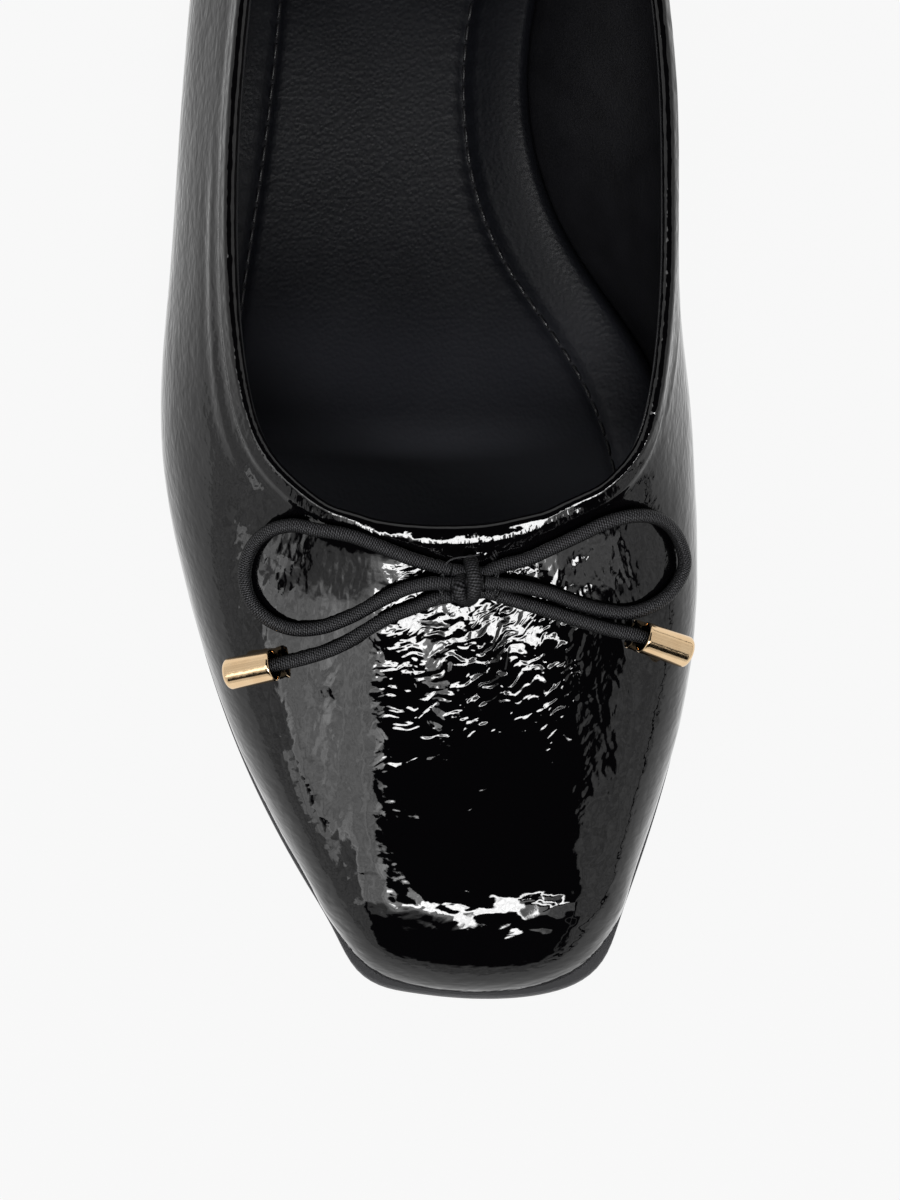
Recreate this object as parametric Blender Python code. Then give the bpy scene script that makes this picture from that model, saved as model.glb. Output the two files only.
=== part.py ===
"""Ballet flat, right shoe, with a low rounded throat, a square toe and a cord bow with metal tips.

Metres. The toe points along -Y and the heel along +Y, the arch side is +X, and the sole rests on z = 0.
Every piece is worked out from the last: a closed table of stations gives the line where the upper meets the
sole, the topline, and how the wall bends between the two.
"""

import math
from collections import namedtuple

import bmesh
import bpy
import numpy as np
from mathutils import Vector
from mathutils.bvhtree import BVHTree

# Driving dimensions of the last
LENGTH = 0.252
WIDTH = 0.085
TOPLINE_HEIGHT = 0.064
TOE_SPRING = 0.0060
HEEL_HEIGHT = 0.0085

# The upper's wall and its folded edge
WALL = 0.0018
EDGE_WIDTH = 0.0022
EDGE_STEP = 0.0003

# Outsole and heel
SOLE_THICKNESS = 0.0038
SOLE_RIM = 0.0008
SOLE_ROUNDING = 0.0007
HEEL_SETBACK = 0.0012
HEEL_TAPER = 0.0014
HEEL_BREAST = 0.192
BREAST_HOLLOW = 0.0045

# Padded insole
INSOLE_THICKNESS = 0.0034
INSOLE_BORDER = 0.0090
INSOLE_PUFF = 0.0013
INSOLE_GROOVE = 0.0008
ARCH_RISE = 0.0036

# Cord bow
CORD_DIAMETER = 0.0022
CORD_IN_AGLET = 0.0042
AGLET_DIAMETER = 0.0050
AGLET_LENGTH = 0.0082
AGLET_WALL = 0.0004
AGLET_CHAMFER = 0.0003
AGLET_CROWN = 0.0007
KNOT_WIDTH = 0.0043
KNOT_LENGTH = 0.0079
KNOT_HEIGHT = 0.0043
KNOT_GROOVE = 0.0006

# Meeting faces keep this gap
GAP = 0.0003

# Where the sole's line leaves the floor, as shares of the length from the toe
TOE_FLAT = 0.22
TOE_CURVE = 2.2
SHANK_START = 0.38
SHANK_END = 0.72

# Mesh density
HALF_COLUMNS = 42
CORD_STEP = 2.1
AGLET_SIDES = 24
KNOT_SIDES = 16
KNOT_SECTIONS = 9

# foot: outer line of the upper on the sole. top: the topline. Both x are shares of WIDTH, both y of LENGTH,
# and top_z of TOPLINE_HEIGHT. swell and lean are how far the wall's lower and upper handles stand out from
# the foot and from the topline, as shares of WIDTH. rise and fall are how high they stand, as shares of the
# wall's height, and reach is how far the upper handle lies from the topline towards the foot. rim scales
# SOLE_RIM, border INSOLE_BORDER, and arch ARCH_RISE. The stations run from the toe back along the outer
# side, round the heel and forward again.
COLUMNS = "name foot_x foot_y top_x top_y top_z swell lean rise reach fall rim border arch"
Station = namedtuple("Station", COLUMNS)
STATIONS = (
    ("toe", 0.096, -0.498, 0.053, -0.220, 0.594, 0.006, 0.0, 0.61, 0.58, 0.58, 0.87, 1.00, 0.0),
    ("toe_lateral", -0.038, -0.493, -0.038, -0.219, 0.594, 0.007, 0.0, 0.61, 0.58, 0.58, 1.12, 1.00, 0.0),
    ("corner_lateral", -0.125, -0.479, -0.101, -0.216, 0.595, 0.011, 0.0, 0.61, 0.58, 0.58, 1.50, 1.00, 0.0),
    ("side_lateral", -0.175, -0.456, -0.132, -0.213, 0.597, 0.014, 0.0, 0.62, 0.57, 0.57, 0.50, 1.00, 0.0),
    ("cap_lateral", -0.228, -0.425, -0.165, -0.210, 0.597, 0.019, 0.0, 0.68, 0.58, 0.54, 0.50, 1.00, 0.0),
    ("vamp_lateral", -0.339, -0.353, -0.226, -0.198, 0.600, 0.024, 0.0, 0.69, 0.58, 0.46, 0.50, 1.00, 0.0),
    ("ball_lateral", -0.425, -0.272, -0.285, -0.179, 0.606, 0.029, 0.0, 0.66, 0.57, 0.35, 0.50, 1.00, 0.0),
    ("joint_lateral", -0.488, -0.167, -0.333, -0.145, 0.619, 0.042, 0.0, 0.60, 0.53, 0.27, 0.50, 1.00, 0.0),
    ("shank_lateral", -0.478, -0.060, -0.364, -0.071, 0.641, 0.049, 0.0, 0.52, 0.50, 0.26, 0.50, 1.00, 0.0),
    ("waist_lateral", -0.434, 0.040, -0.362, 0.040, 0.681, 0.094, 0.0, 0.48, 0.56, 0.28, 0.50, 1.04, 0.0),
    ("quarter_lateral", -0.398, 0.143, -0.336, 0.139, 0.728, 0.115, 0.0, 0.48, 0.60, 0.30, 0.50, 1.02, 0.0),
    ("ankle_lateral", -0.376, 0.250, -0.315, 0.242, 0.787, 0.099, 0.0, 0.46, 0.70, 0.32, 0.50, 1.00, 0.0),
    ("heel_lateral", -0.353, 0.357, -0.289, 0.349, 0.869, 0.073, 0.0, 0.44, 0.80, 0.34, 0.50, 1.00, 0.0),
    ("back_lateral", -0.278, 0.448, -0.238, 0.435, 0.959, 0.059, 0.0, 0.42, 0.90, 0.36, 0.50, 1.00, 0.0),
    ("back", -0.038, 0.492, -0.038, 0.478, 1.000, 0.054, 0.0, 0.38, 1.00, 0.36, 0.50, 1.00, 0.0),
    ("back_medial", 0.202, 0.448, 0.165, 0.435, 0.963, 0.059, 0.0, 0.42, 0.90, 0.36, 0.50, 1.00, 0.0),
    ("heel_medial", 0.280, 0.357, 0.249, 0.349, 0.881, 0.071, 0.005, 0.44, 0.60, 0.34, 0.50, 1.00, 0.1),
    ("ankle_medial", 0.278, 0.250, 0.339, 0.242, 0.819, 0.076, 0.031, 0.42, 0.20, 0.34, 0.50, 1.06, 0.6),
    ("quarter_medial", 0.207, 0.143, 0.405, 0.143, 0.775, 0.047, 0.078, 0.40, 0.00, 0.34, 0.50, 1.16, 1.0),
    ("waist_medial", 0.188, 0.052, 0.435, 0.048, 0.744, 0.035, 0.101, 0.36, 0.00, 0.36, 0.50, 1.18, 1.0),
    ("arch_medial", 0.282, -0.024, 0.441, -0.022, 0.716, 0.028, 0.089, 0.38, 0.00, 0.34, 0.50, 1.36, 0.7),
    ("shank_medial", 0.426, -0.095, 0.440, -0.081, 0.681, 0.047, 0.042, 0.46, 0.00, 0.32, 0.50, 1.38, 0.3),
    ("joint_medial", 0.481, -0.179, 0.416, -0.147, 0.644, 0.046, 0.007, 0.52, 0.30, 0.30, 0.50, 1.04, 0.0),
    ("ball_medial", 0.487, -0.262, 0.374, -0.177, 0.622, 0.040, 0.0, 0.62, 0.50, 0.34, 0.50, 0.96, 0.0),
    ("vamp_medial", 0.452, -0.341, 0.313, -0.196, 0.608, 0.031, 0.0, 0.67, 0.56, 0.44, 0.50, 1.00, 0.0),
    ("cap_medial", 0.382, -0.419, 0.247, -0.206, 0.598, 0.021, 0.0, 0.67, 0.57, 0.54, 0.50, 1.00, 0.0),
    ("side_medial", 0.348, -0.451, 0.214, -0.211, 0.597, 0.016, 0.0, 0.62, 0.57, 0.57, 0.62, 1.00, 0.0),
    ("corner_medial", 0.306, -0.474, 0.176, -0.214, 0.595, 0.012, 0.0, 0.61, 0.58, 0.58, 1.88, 1.00, 0.0),
    ("toe_medial", 0.222, -0.492, 0.120, -0.218, 0.594, 0.007, 0.0, 0.61, 0.58, 0.58, 1.50, 1.00, 0.0),
)
BACK_STATION = 14

# Heights of the rings on the wall, as shares of the wall from the sole to the folded edge
OUTER_ROWS = (0.0, 0.05, 0.12, 0.20, 0.29, 0.38, 0.48, 0.58, 0.68, 0.78, 0.88)
INNER_ROWS = (0.90, 0.76, 0.62, 0.48, 0.37, 0.28, 0.21, 0.16, 0.12, 0.08, 0.04)
EDGE_ROUND_STEPS = 4

# The spine that the insole's and the outsole's rings run in to, as shares of WIDTH and LENGTH
SPINE_TOE = (0.09, -0.385)
SPINE_HEEL = (-0.038, 0.385)

# The bow's strands over the vamp, from the knot and back to it or out to a tip. Each row is x as a share of
# WIDTH, y of LENGTH, and the lift over the vamp in cord diameters.
LOOP_LEFT = (
    (0.040, -0.244, 0.0),
    (-0.025, -0.238, 0.0),
    (-0.085, -0.229, 0.0),
    (-0.142, -0.222, 0.1),
    (-0.195, -0.217, 0.2),
    (-0.241, -0.215, 0.2),
    (-0.288, -0.219, 0.1),
    (-0.320, -0.229, 0.0),
    (-0.332, -0.244, 0.0),
    (-0.322, -0.259, 0.0),
    (-0.292, -0.271, 0.0),
    (-0.247, -0.278, 0.0),
    (-0.196, -0.278, 0.0),
    (-0.141, -0.272, 0.0),
    (-0.085, -0.262, 0.0),
    (-0.034, -0.254, 0.3),
    (0.006, -0.251, 0.6),
    (0.040, -0.251, 0.6),
)
LOOP_RIGHT = (
    (0.099, -0.246, 0.0),
    (0.135, -0.241, 0.0),
    (0.177, -0.237, 0.0),
    (0.218, -0.231, 0.0),
    (0.269, -0.222, 0.1),
    (0.321, -0.213, 0.2),
    (0.367, -0.209, 0.2),
    (0.413, -0.211, 0.1),
    (0.445, -0.222, 0.0),
    (0.456, -0.237, 0.0),
    (0.442, -0.250, 0.0),
    (0.412, -0.261, 0.0),
    (0.361, -0.268, 0.0),
    (0.310, -0.267, 0.0),
    (0.263, -0.263, 0.0),
    (0.213, -0.257, 0.2),
    (0.163, -0.253, 0.5),
    (0.099, -0.251, 0.7),
)
END_LEFT = (
    (0.040, -0.260, 0.0),
    (0.015, -0.261, 0.0),
    (-0.025, -0.266, 0.0),
    (-0.070, -0.272, 0.0),
    (-0.116, -0.281, 0.0),
    (-0.167, -0.290, 0.0),
    (-0.212, -0.295, 0.1),
)
END_RIGHT = (
    (0.099, -0.257, 0.0),
    (0.123, -0.259, 0.0),
    (0.164, -0.263, 0.0),
    (0.214, -0.268, 0.0),
    (0.262, -0.273, 0.0),
    (0.318, -0.278, 0.1),
)

# The tips: where the open end stands over the vamp, the heading of the closed end in plan, and its fall
Tip = namedtuple("Tip", "x y heading_degrees fall_degrees")
TIP_LEFT = Tip(-0.272, -0.2990, 188.0, 24.0)
TIP_RIGHT = Tip(0.380, -0.2820, -16.0, 24.0)

# The knot's middle, and how far its arch side stands back towards the collar
KNOT_PLACE = (0.069, -0.252)
KNOT_SKEW = 0.35


# The sole's line

def underside(y):
    """Height of the outsole's underside: flat at the ball, sprung at the toe, raised from shank to heel."""
    along = (np.asarray(y) + 0.5 * LENGTH) / LENGTH
    toe = np.clip((TOE_FLAT - along) / TOE_FLAT, 0.0, 1.5) ** TOE_CURVE
    climb = np.clip((along - SHANK_START) / (SHANK_END - SHANK_START), 0.0, 1.0)
    climb = climb ** 3 * (climb * (climb * 6.0 - 15.0) + 10.0)
    return TOE_SPRING * toe + HEEL_HEIGHT * climb


def sole_top(y):
    """Height of the outsole's upper face."""
    return underside(y) + SOLE_THICKNESS


# The last's columns

def closed_slopes(knots, values):
    """Slopes at the knots of a closed cubic curve whose curvature has no jumps."""
    gaps = np.diff(knots)
    rises = np.roll(values, -1, axis=0) - values
    count = len(gaps)
    system = np.zeros((count, count))
    right = np.zeros_like(values)
    for i in range(count):
        before, after = gaps[i - 1], gaps[i]
        system[i, i - 1] += 1.0 / before
        system[i, i] += 2.0 / before + 2.0 / after
        system[i, (i + 1) % count] += 1.0 / after
        right[i] = 3.0 * (rises[i - 1] / before ** 2 + rises[i] / after ** 2)
    return np.linalg.solve(system, right)


def closed_spline(knots, values, places):
    """A smooth closed curve through the rows of values, read at the given places."""
    slopes = closed_slopes(knots, values)
    gaps = np.diff(knots)
    index = np.clip(np.searchsorted(knots, places, side="right") - 1, 0, len(gaps) - 1)
    share = ((places - knots[index]) / gaps[index])[:, None]
    width = gaps[index][:, None]
    after = (index + 1) % len(gaps)
    return ((1.0 + 2.0 * share) * (1.0 - share) ** 2 * values[index]
            + share * (1.0 - share) ** 2 * width * slopes[index]
            + share ** 2 * (3.0 - 2.0 * share) * values[after]
            + share ** 2 * (share - 1.0) * width * slopes[after])


def read_columns():
    """The stations' values at each column: half of the columns on the outer side, half on the inner."""
    table = np.array([row[1:] for row in STATIONS])
    plan = np.array([WIDTH, LENGTH])
    middle = 0.5 * (table[:, 0:2] + table[:, 2:4]) * plan
    steps = np.linalg.norm(np.roll(middle, -1, axis=0) - middle, axis=1)
    knots = np.concatenate([[0.0], np.cumsum(steps)])
    places = np.concatenate([
        np.linspace(0.0, knots[BACK_STATION], HALF_COLUMNS, endpoint=False),
        np.linspace(knots[BACK_STATION], knots[-1], HALF_COLUMNS, endpoint=False),
    ])
    return Station("columns", *closed_spline(knots, table, places).T)


class Last:
    """The upper's outer surface, as one bent column of wall after another round the shoe."""

    def __init__(self):
        self.columns = read_columns()
        c = self.columns
        foot_y = c.foot_y * LENGTH
        self.foot = np.stack([c.foot_x * WIDTH, foot_y, sole_top(foot_y) + GAP], axis=1)
        self.top = np.stack([c.top_x * WIDTH, c.top_y * LENGTH, c.top_z * TOPLINE_HEIGHT], axis=1)
        self.away = plan_normals(self.foot)
        height = self.top[:, 2] - self.foot[:, 2]
        low = self.foot + self.away * (c.swell * WIDTH)[:, None]
        low[:, 2] = self.foot[:, 2] + c.rise * height
        high = self.top + (self.foot - self.top) * c.reach[:, None]
        high += self.away * (c.lean * WIDTH)[:, None]
        high[:, 2] = self.top[:, 2] - c.fall * height
        self.handles = (self.foot, low, high, self.top)

    def at(self, share, shift=0):
        """Each column's point at its share of the way up, or its neighbour's point at that share."""
        a, b, c, d = (np.roll(h, shift, axis=0) for h in self.handles)
        v = np.broadcast_to(share, len(a))[:, None]
        return a * (1 - v) ** 3 + 3 * b * v * (1 - v) ** 2 + 3 * c * v ** 2 * (1 - v) + d * v ** 3

    def upward(self, share):
        """Each column's direction up the wall, with its length in metres for the whole share."""
        a, b, c, d = self.handles
        v = np.broadcast_to(share, len(a))[:, None]
        return 3 * (b - a) * (1 - v) ** 2 + 6 * (c - b) * v * (1 - v) + 3 * (d - c) * v ** 2

    def outward(self, share):
        """Each column's unit normal, pointing out of the shoe."""
        around = self.at(share, -1) - self.at(share, 1)
        return unit(np.cross(self.upward(share), around))

    def wall(self, share, depth):
        """Points at a depth inside the outer surface."""
        return self.at(share) - depth * self.outward(share)

    def wall_at(self, rise, depth):
        """Points at a depth inside the outer surface that stand this far above the sole."""
        shares = np.linspace(0.0, 0.6, 61)
        stacks = np.array([self.wall(share, depth) for share in shares])
        over = stacks[:, :, 2] - sole_top(stacks[:, :, 1])
        wanted = np.broadcast_to(rise, len(self.foot))
        found = np.array([np.interp(w, heights, shares) for w, heights in zip(wanted, over.T)])
        return self.wall(found, depth)


def unit(vectors):
    """Vectors of length one."""
    return vectors / np.linalg.norm(vectors, axis=-1, keepdims=True)


def plan_normals(ring):
    """Level unit normals that point out of a closed ring of points."""
    along = np.roll(ring, -1, axis=0) - np.roll(ring, 1, axis=0)
    return unit(np.stack([along[:, 1] * -1.0, along[:, 0], np.zeros(len(ring))], axis=1))


# Meshes from rings of points

def ring_faces(rings, count, closed=False):
    """Quads between each ring and the next, and back to the first ring when closed."""
    pairs = [(r, r + 1) for r in range(rings - 1)]
    if closed:
        pairs.append((rings - 1, 0))
    faces = []
    for low, high in pairs:
        for i in range(count):
            j = (i + 1) % count
            faces.append((low * count + i, low * count + j, high * count + j, high * count + i))
    return faces


def ladder(ring, start, count, first_new, height, rungs=3):
    """Points and faces that fill a ring from side to side, at the height that a function of y gives."""
    half = count // 2
    points, faces, rows = [], [], []
    for i in range(1, half):
        row = [start + i]
        for k in range(1, rungs):
            point = ring[i] + (ring[count - i] - ring[i]) * (k / rungs)
            row.append(first_new + len(points))
            points.append((point[0], point[1], float(height(point[1]))))
        row.append(start + count - i)
        rows.append(row)
    for row, after in zip(rows, rows[1:]):
        faces += [(row[k], after[k], after[k + 1], row[k + 1]) for k in range(rungs)]
    faces += [(start, rows[0][k], rows[0][k + 1]) for k in range(rungs)]
    faces += [(start + half, rows[-1][k + 1], rows[-1][k]) for k in range(rungs)]
    return points, faces


def filled_rings(rings, first_height, last_height):
    """A closed body from rings, whose first and last are filled by ladders."""
    count = len(rings[0])
    points = [tuple(p) for ring in rings for p in ring]
    faces = ring_faces(len(rings), count)
    ends = ((rings[0], 0, first_height), (rings[-1], (len(rings) - 1) * count, last_height))
    for ring, start, height in ends:
        more, fill = ladder(ring, start, count, len(points), height)
        points += more
        faces += fill
    return points, faces


def add_part(name, points, faces, material, collection, sharp_degrees=35.0):
    """A mesh object with its faces turned outward and its round stretches smooth."""
    mesh = bpy.data.meshes.new(name)
    mesh.from_pydata([tuple(p) for p in points], [], faces)
    work = bmesh.new()
    work.from_mesh(mesh)
    bmesh.ops.recalc_face_normals(work, faces=work.faces)
    work.to_mesh(mesh)
    work.free()
    mesh.shade_smooth()
    mesh.set_sharp_from_angle(angle=math.radians(sharp_degrees))
    mesh.materials.append(material)
    part = bpy.data.objects.new(name, mesh)
    collection.objects.link(part)
    return part


def make_material(name, colour, roughness, metallic=0.0, coat=0.0):
    """A plain surface of one colour."""
    material = bpy.data.materials.new(name)
    material.use_nodes = True
    shader = material.node_tree.nodes["Principled BSDF"]
    shader.inputs["Base Color"].default_value = (*colour, 1.0)
    shader.inputs["Roughness"].default_value = roughness
    shader.inputs["Metallic"].default_value = metallic
    shader.inputs["Coat Weight"].default_value = coat
    return material


# The upper

def edge_shares(last):
    """Shares of each column at the foot and at the rounded top of the folded edge."""
    reach = np.linalg.norm(last.upward(1.0), axis=1)
    radius = 0.5 * (WALL + EDGE_STEP)
    return 1.0 - (EDGE_WIDTH + radius) / reach, 1.0 - radius / reach


def upper_rings(last):
    """Rings up the outside, over the folded edge and down the inside."""
    edge_foot, edge_top = edge_shares(last)
    rings = [last.wall(edge_foot * row, 0.0) for row in OUTER_ROWS]
    rings.append(last.wall(edge_foot, 0.0))
    for way in (0.15, 0.60):
        rings.append(last.wall(edge_foot + (edge_top - edge_foot) * way, -EDGE_STEP))
    radius = 0.5 * (WALL + EDGE_STEP)
    up = unit(last.upward(edge_top))
    for step in range(EDGE_ROUND_STEPS + 1):
        turn = math.pi * step / EDGE_ROUND_STEPS
        depth = 0.5 * (WALL - EDGE_STEP) - radius * math.cos(turn)
        rings.append(last.wall(edge_top, depth) + up * radius * math.sin(turn))
    rings += [last.wall(edge_foot * row, WALL) for row in INNER_ROWS]
    foot = last.wall(0.0, WALL)
    foot[:, 2] = sole_top(foot[:, 1]) + GAP
    rings.append(foot)
    return rings


def make_upper(last, material, collection):
    """One hollow wall, open at the collar and underneath."""
    rings = upper_rings(last)
    points = [p for ring in rings for p in ring]
    faces = ring_faces(len(rings), len(rings[0]), closed=True)
    return add_part("upper", points, faces, material, collection, sharp_degrees=60.0)


# Outsole and heel

def sole_outline(last, inset=0.0):
    """The outsole's edge in plan, or a line that far inside it."""
    rim = (last.columns.rim * SOLE_RIM - inset)[:, None]
    return last.foot + last.away * rim


def at_height(ring, height):
    """The ring with its heights taken from a function of y."""
    out = ring.copy()
    out[:, 2] = height(out[:, 1])
    return out


def towards_spine(ring, distance):
    """Points moved in from the ring towards the shoe's spine."""
    low = np.array(SPINE_TOE) * (WIDTH, LENGTH)
    high = np.array(SPINE_HEEL) * (WIDTH, LENGTH)
    along = np.clip((ring[:, 1] - low[1]) / (high[1] - low[1]), 0.0, 1.0)[:, None]
    spine = low + (high - low) * along
    way = spine - ring[:, 0:2]
    out = ring.copy()
    out[:, 0:2] += way / np.linalg.norm(way, axis=1, keepdims=True) * np.reshape(distance, (-1, 1))
    return out


def make_outsole(last, material, collection):
    """A thin sole with rounded edges, the toe's spring and a raised waist and heel seat."""
    round_off = SOLE_ROUNDING
    edge = sole_outline(last)
    inner = towards_spine(sole_outline(last, round_off), 0.012)
    rings = [
        at_height(inner, underside),
        at_height(sole_outline(last, round_off), underside),
        at_height(sole_outline(last, 0.3 * round_off), lambda y: underside(y) + 0.3 * round_off),
        at_height(edge, lambda y: underside(y) + round_off),
        at_height(edge, lambda y: sole_top(y) - 0.5 * round_off),
        at_height(sole_outline(last, 0.5 * round_off), sole_top),
        at_height(inner, sole_top),
    ]
    points, faces = filled_rings(rings, underside, sole_top)
    return add_part("outsole", points, faces, material, collection)


def heel_ring(last, inset, height):
    """The heel's outline at a level: the sole's edge behind the breast, and the hollow breast."""
    edge = sole_outline(last, inset)
    breast = -0.5 * LENGTH + HEEL_BREAST
    behind = edge[last.foot[:, 1] > breast]
    start, end = behind[0], behind[-1]
    points = [(p[0], p[1], height) for p in behind]
    steps = 8
    for k in range(steps + 1):
        share = k / steps
        x = end[0] + (start[0] - end[0]) * share
        y = breast + inset * 0.5 + BREAST_HOLLOW * (1.0 - (2.0 * share - 1.0) ** 2) - BREAST_HOLLOW
        points.append((x, y, height))
    return points


def make_heel(last, material, collection):
    """A low block under the seat, a little smaller at the floor than at the sole."""
    top = HEEL_HEIGHT - GAP
    rings = [
        heel_ring(last, HEEL_SETBACK + HEEL_TAPER + SOLE_ROUNDING, 0.0),
        heel_ring(last, HEEL_SETBACK + HEEL_TAPER, SOLE_ROUNDING),
        heel_ring(last, HEEL_SETBACK, top),
    ]
    count = len(rings[0])
    points = [p for ring in rings for p in ring]
    faces = ring_faces(len(rings), count)
    faces.append(tuple(range(count)))
    faces.append(tuple(range(2 * count, 3 * count)))
    return add_part("heel", points, faces, material, collection)


# The insole

def make_insole(last, material, collection):
    """A padded sock: a flat bed, a sewn channel and a puffed border that climbs against the arch."""
    bed = INSOLE_THICKNESS + GAP
    arch = np.clip(last.columns.arch, 0.0, 1.0) * ARCH_RISE
    border = last.columns.border * INSOLE_BORDER
    clear = WALL + GAP
    foot = last.wall_at(GAP, clear)
    knee = last.wall_at(0.35 * bed + 0.5 * arch, clear)
    shoulder = last.wall_at(0.7 * bed + arch, clear)
    crown = towards_spine(shoulder, 0.28 * border)
    flank = towards_spine(shoulder, 0.70 * border)
    channel_out = towards_spine(shoulder, border - 0.0009)
    channel = towards_spine(shoulder, border)
    channel_in = towards_spine(shoulder, border + 0.0009)
    inner = towards_spine(shoulder, border + 0.0040)

    def lifted(ring, rise):
        out = ring.copy()
        out[:, 2] = sole_top(out[:, 1]) + rise
        return out

    foot_in = lifted(towards_spine(foot, 0.010), GAP)
    rings = [
        foot_in,
        lifted(foot, GAP),
        lifted(knee, 0.35 * bed + 0.5 * arch),
        lifted(shoulder, 0.7 * bed + arch),
        lifted(crown, bed + INSOLE_PUFF + 0.80 * arch),
        lifted(flank, bed + 0.75 * INSOLE_PUFF + 0.25 * arch),
        lifted(channel_out, bed + 0.1 * INSOLE_PUFF + 0.03 * arch),
        lifted(channel, bed - INSOLE_GROOVE),
        lifted(channel_in, bed),
        lifted(inner, bed),
    ]
    points, faces = filled_rings(rings, lambda y: sole_top(y) + GAP, lambda y: sole_top(y) + bed)
    return add_part("insole", points, faces, material, collection)


# The bow

def vamp_reader(last):
    """A reader of the outer surface: the point and the normal straight below a place in plan."""
    rings = upper_rings(last)[:len(OUTER_ROWS) + 5]
    points = [tuple(p) for ring in rings for p in ring]
    tree = BVHTree.FromPolygons(points, ring_faces(len(rings), len(rings[0])))

    def read(x, y):
        point, normal, _, _ = tree.ray_cast(Vector((x, y, 0.2)), Vector((0.0, 0.0, -1.0)))
        if normal.z < 0.0:
            normal = -normal
        return np.array(point), np.array(normal)

    return read


def resting_points(read, route):
    """Centres of a cord that lies on the vamp along a route."""
    centres = []
    for x, y, lift in route:
        point, normal = read(x * WIDTH, y * LENGTH)
        centres.append(point + normal * (0.5 * CORD_DIAMETER + GAP + lift * CORD_DIAMETER))
    return np.array(centres)


def smooth_path(points, step):
    """Evenly spaced points on a smooth curve through the given ones."""
    gaps = np.linalg.norm(np.diff(points, axis=0), axis=1)
    knots = np.concatenate([[0.0], np.cumsum(gaps)])
    slopes = np.gradient(points, knots, axis=0)
    places = np.linspace(0.0, knots[-1], 600)
    index = np.clip(np.searchsorted(knots, places, side="right") - 1, 0, len(gaps) - 1)
    share = ((places - knots[index]) / gaps[index])[:, None]
    width = gaps[index][:, None]
    fine = ((1.0 + 2.0 * share) * (1.0 - share) ** 2 * points[index]
            + share * (1.0 - share) ** 2 * width * slopes[index]
            + share ** 2 * (3.0 - 2.0 * share) * points[index + 1]
            + share ** 2 * (share - 1.0) * width * slopes[index + 1])
    runs = np.concatenate([[0.0], np.cumsum(np.linalg.norm(np.diff(fine, axis=0), axis=1))])
    count = max(2, round(runs[-1] / step) + 1)
    even = np.linspace(0.0, runs[-1], count)
    return np.stack([np.interp(even, runs, fine[:, k]) for k in range(3)], axis=1)


def add_cord(name, centres, material, collection):
    """A round cord along its centres, closed at both ends."""
    path = smooth_path(centres, CORD_STEP * CORD_DIAMETER)
    curve = bpy.data.curves.new(name, "CURVE")
    curve.dimensions = "3D"
    curve.bevel_depth = 0.5 * CORD_DIAMETER
    curve.bevel_resolution = 2
    curve.use_fill_caps = True
    spline = curve.splines.new("POLY")
    spline.points.add(len(path) - 1)
    for point, place in zip(spline.points, path):
        point.co = (*place, 1.0)
    curve.materials.append(material)
    cord = bpy.data.objects.new(name, curve)
    collection.objects.link(cord)


def tip_frame(read, tip):
    """The middle of a tip's open end, its axis towards the closed end, and its side away from the vamp."""
    point, normal = read(tip.x * WIDTH, tip.y * LENGTH)
    heading, fall = math.radians(tip.heading_degrees), math.radians(tip.fall_degrees)
    level = np.array([math.cos(heading), math.sin(heading), 0.0])
    axis = level * math.cos(fall) - np.array([0.0, 0.0, math.sin(fall)])
    away = unit(normal - axis * float(np.dot(normal, axis)))
    return point + normal * (0.5 * AGLET_DIAMETER + GAP), axis, away


def cord_into_tip(read, route, tip):
    """A strand's centres with its last stretch inside the tip, near the wall that faces the vamp."""
    mouth, axis, away = tip_frame(read, tip)
    low = mouth - away * (0.5 * AGLET_DIAMETER - AGLET_WALL - 0.5 * CORD_DIAMETER - GAP)
    inside = [low, low + axis * 0.5 * CORD_IN_AGLET, low + axis * CORD_IN_AGLET]
    return np.concatenate([resting_points(read, route), inside])


def make_aglet(name, frame, material, collection):
    """A turned metal cup: a thin wall, a chamfered mouth and a rounded closed end."""
    mouth, axis, away = frame
    side = np.cross(axis, away)
    outer, bore = 0.5 * AGLET_DIAMETER, 0.5 * AGLET_DIAMETER - AGLET_WALL
    profile = (
        (AGLET_LENGTH - 2.0 * AGLET_WALL, 0.0),
        (AGLET_LENGTH - 2.0 * AGLET_WALL, bore),
        (AGLET_CHAMFER, bore),
        (0.0, bore + 0.3 * AGLET_WALL),
        (0.0, outer - AGLET_CHAMFER),
        (AGLET_CHAMFER, outer),
        (AGLET_LENGTH - AGLET_CROWN, outer),
        (AGLET_LENGTH - 0.3 * AGLET_CROWN, outer - 0.3 * AGLET_CROWN),
        (AGLET_LENGTH, outer - AGLET_CROWN),
        (AGLET_LENGTH, 0.0),
    )
    points = [mouth + axis * profile[0][0], mouth + axis * profile[-1][0]]
    for along, radius in profile[1:-1]:
        for k in range(AGLET_SIDES):
            turn = 2.0 * math.pi * k / AGLET_SIDES
            points.append(mouth + axis * along + (away * math.cos(turn) + side * math.sin(turn)) * radius)
    rings = len(profile) - 2
    faces = [tuple(2 + i for i in face) for face in ring_faces(rings, AGLET_SIDES)]
    last_ring = 2 + (rings - 1) * AGLET_SIDES
    for k in range(AGLET_SIDES):
        after = (k + 1) % AGLET_SIDES
        faces.append((0, 2 + k, 2 + after))
        faces.append((1, last_ring + after, last_ring + k))
    add_part(name, points, faces, material, collection)


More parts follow.
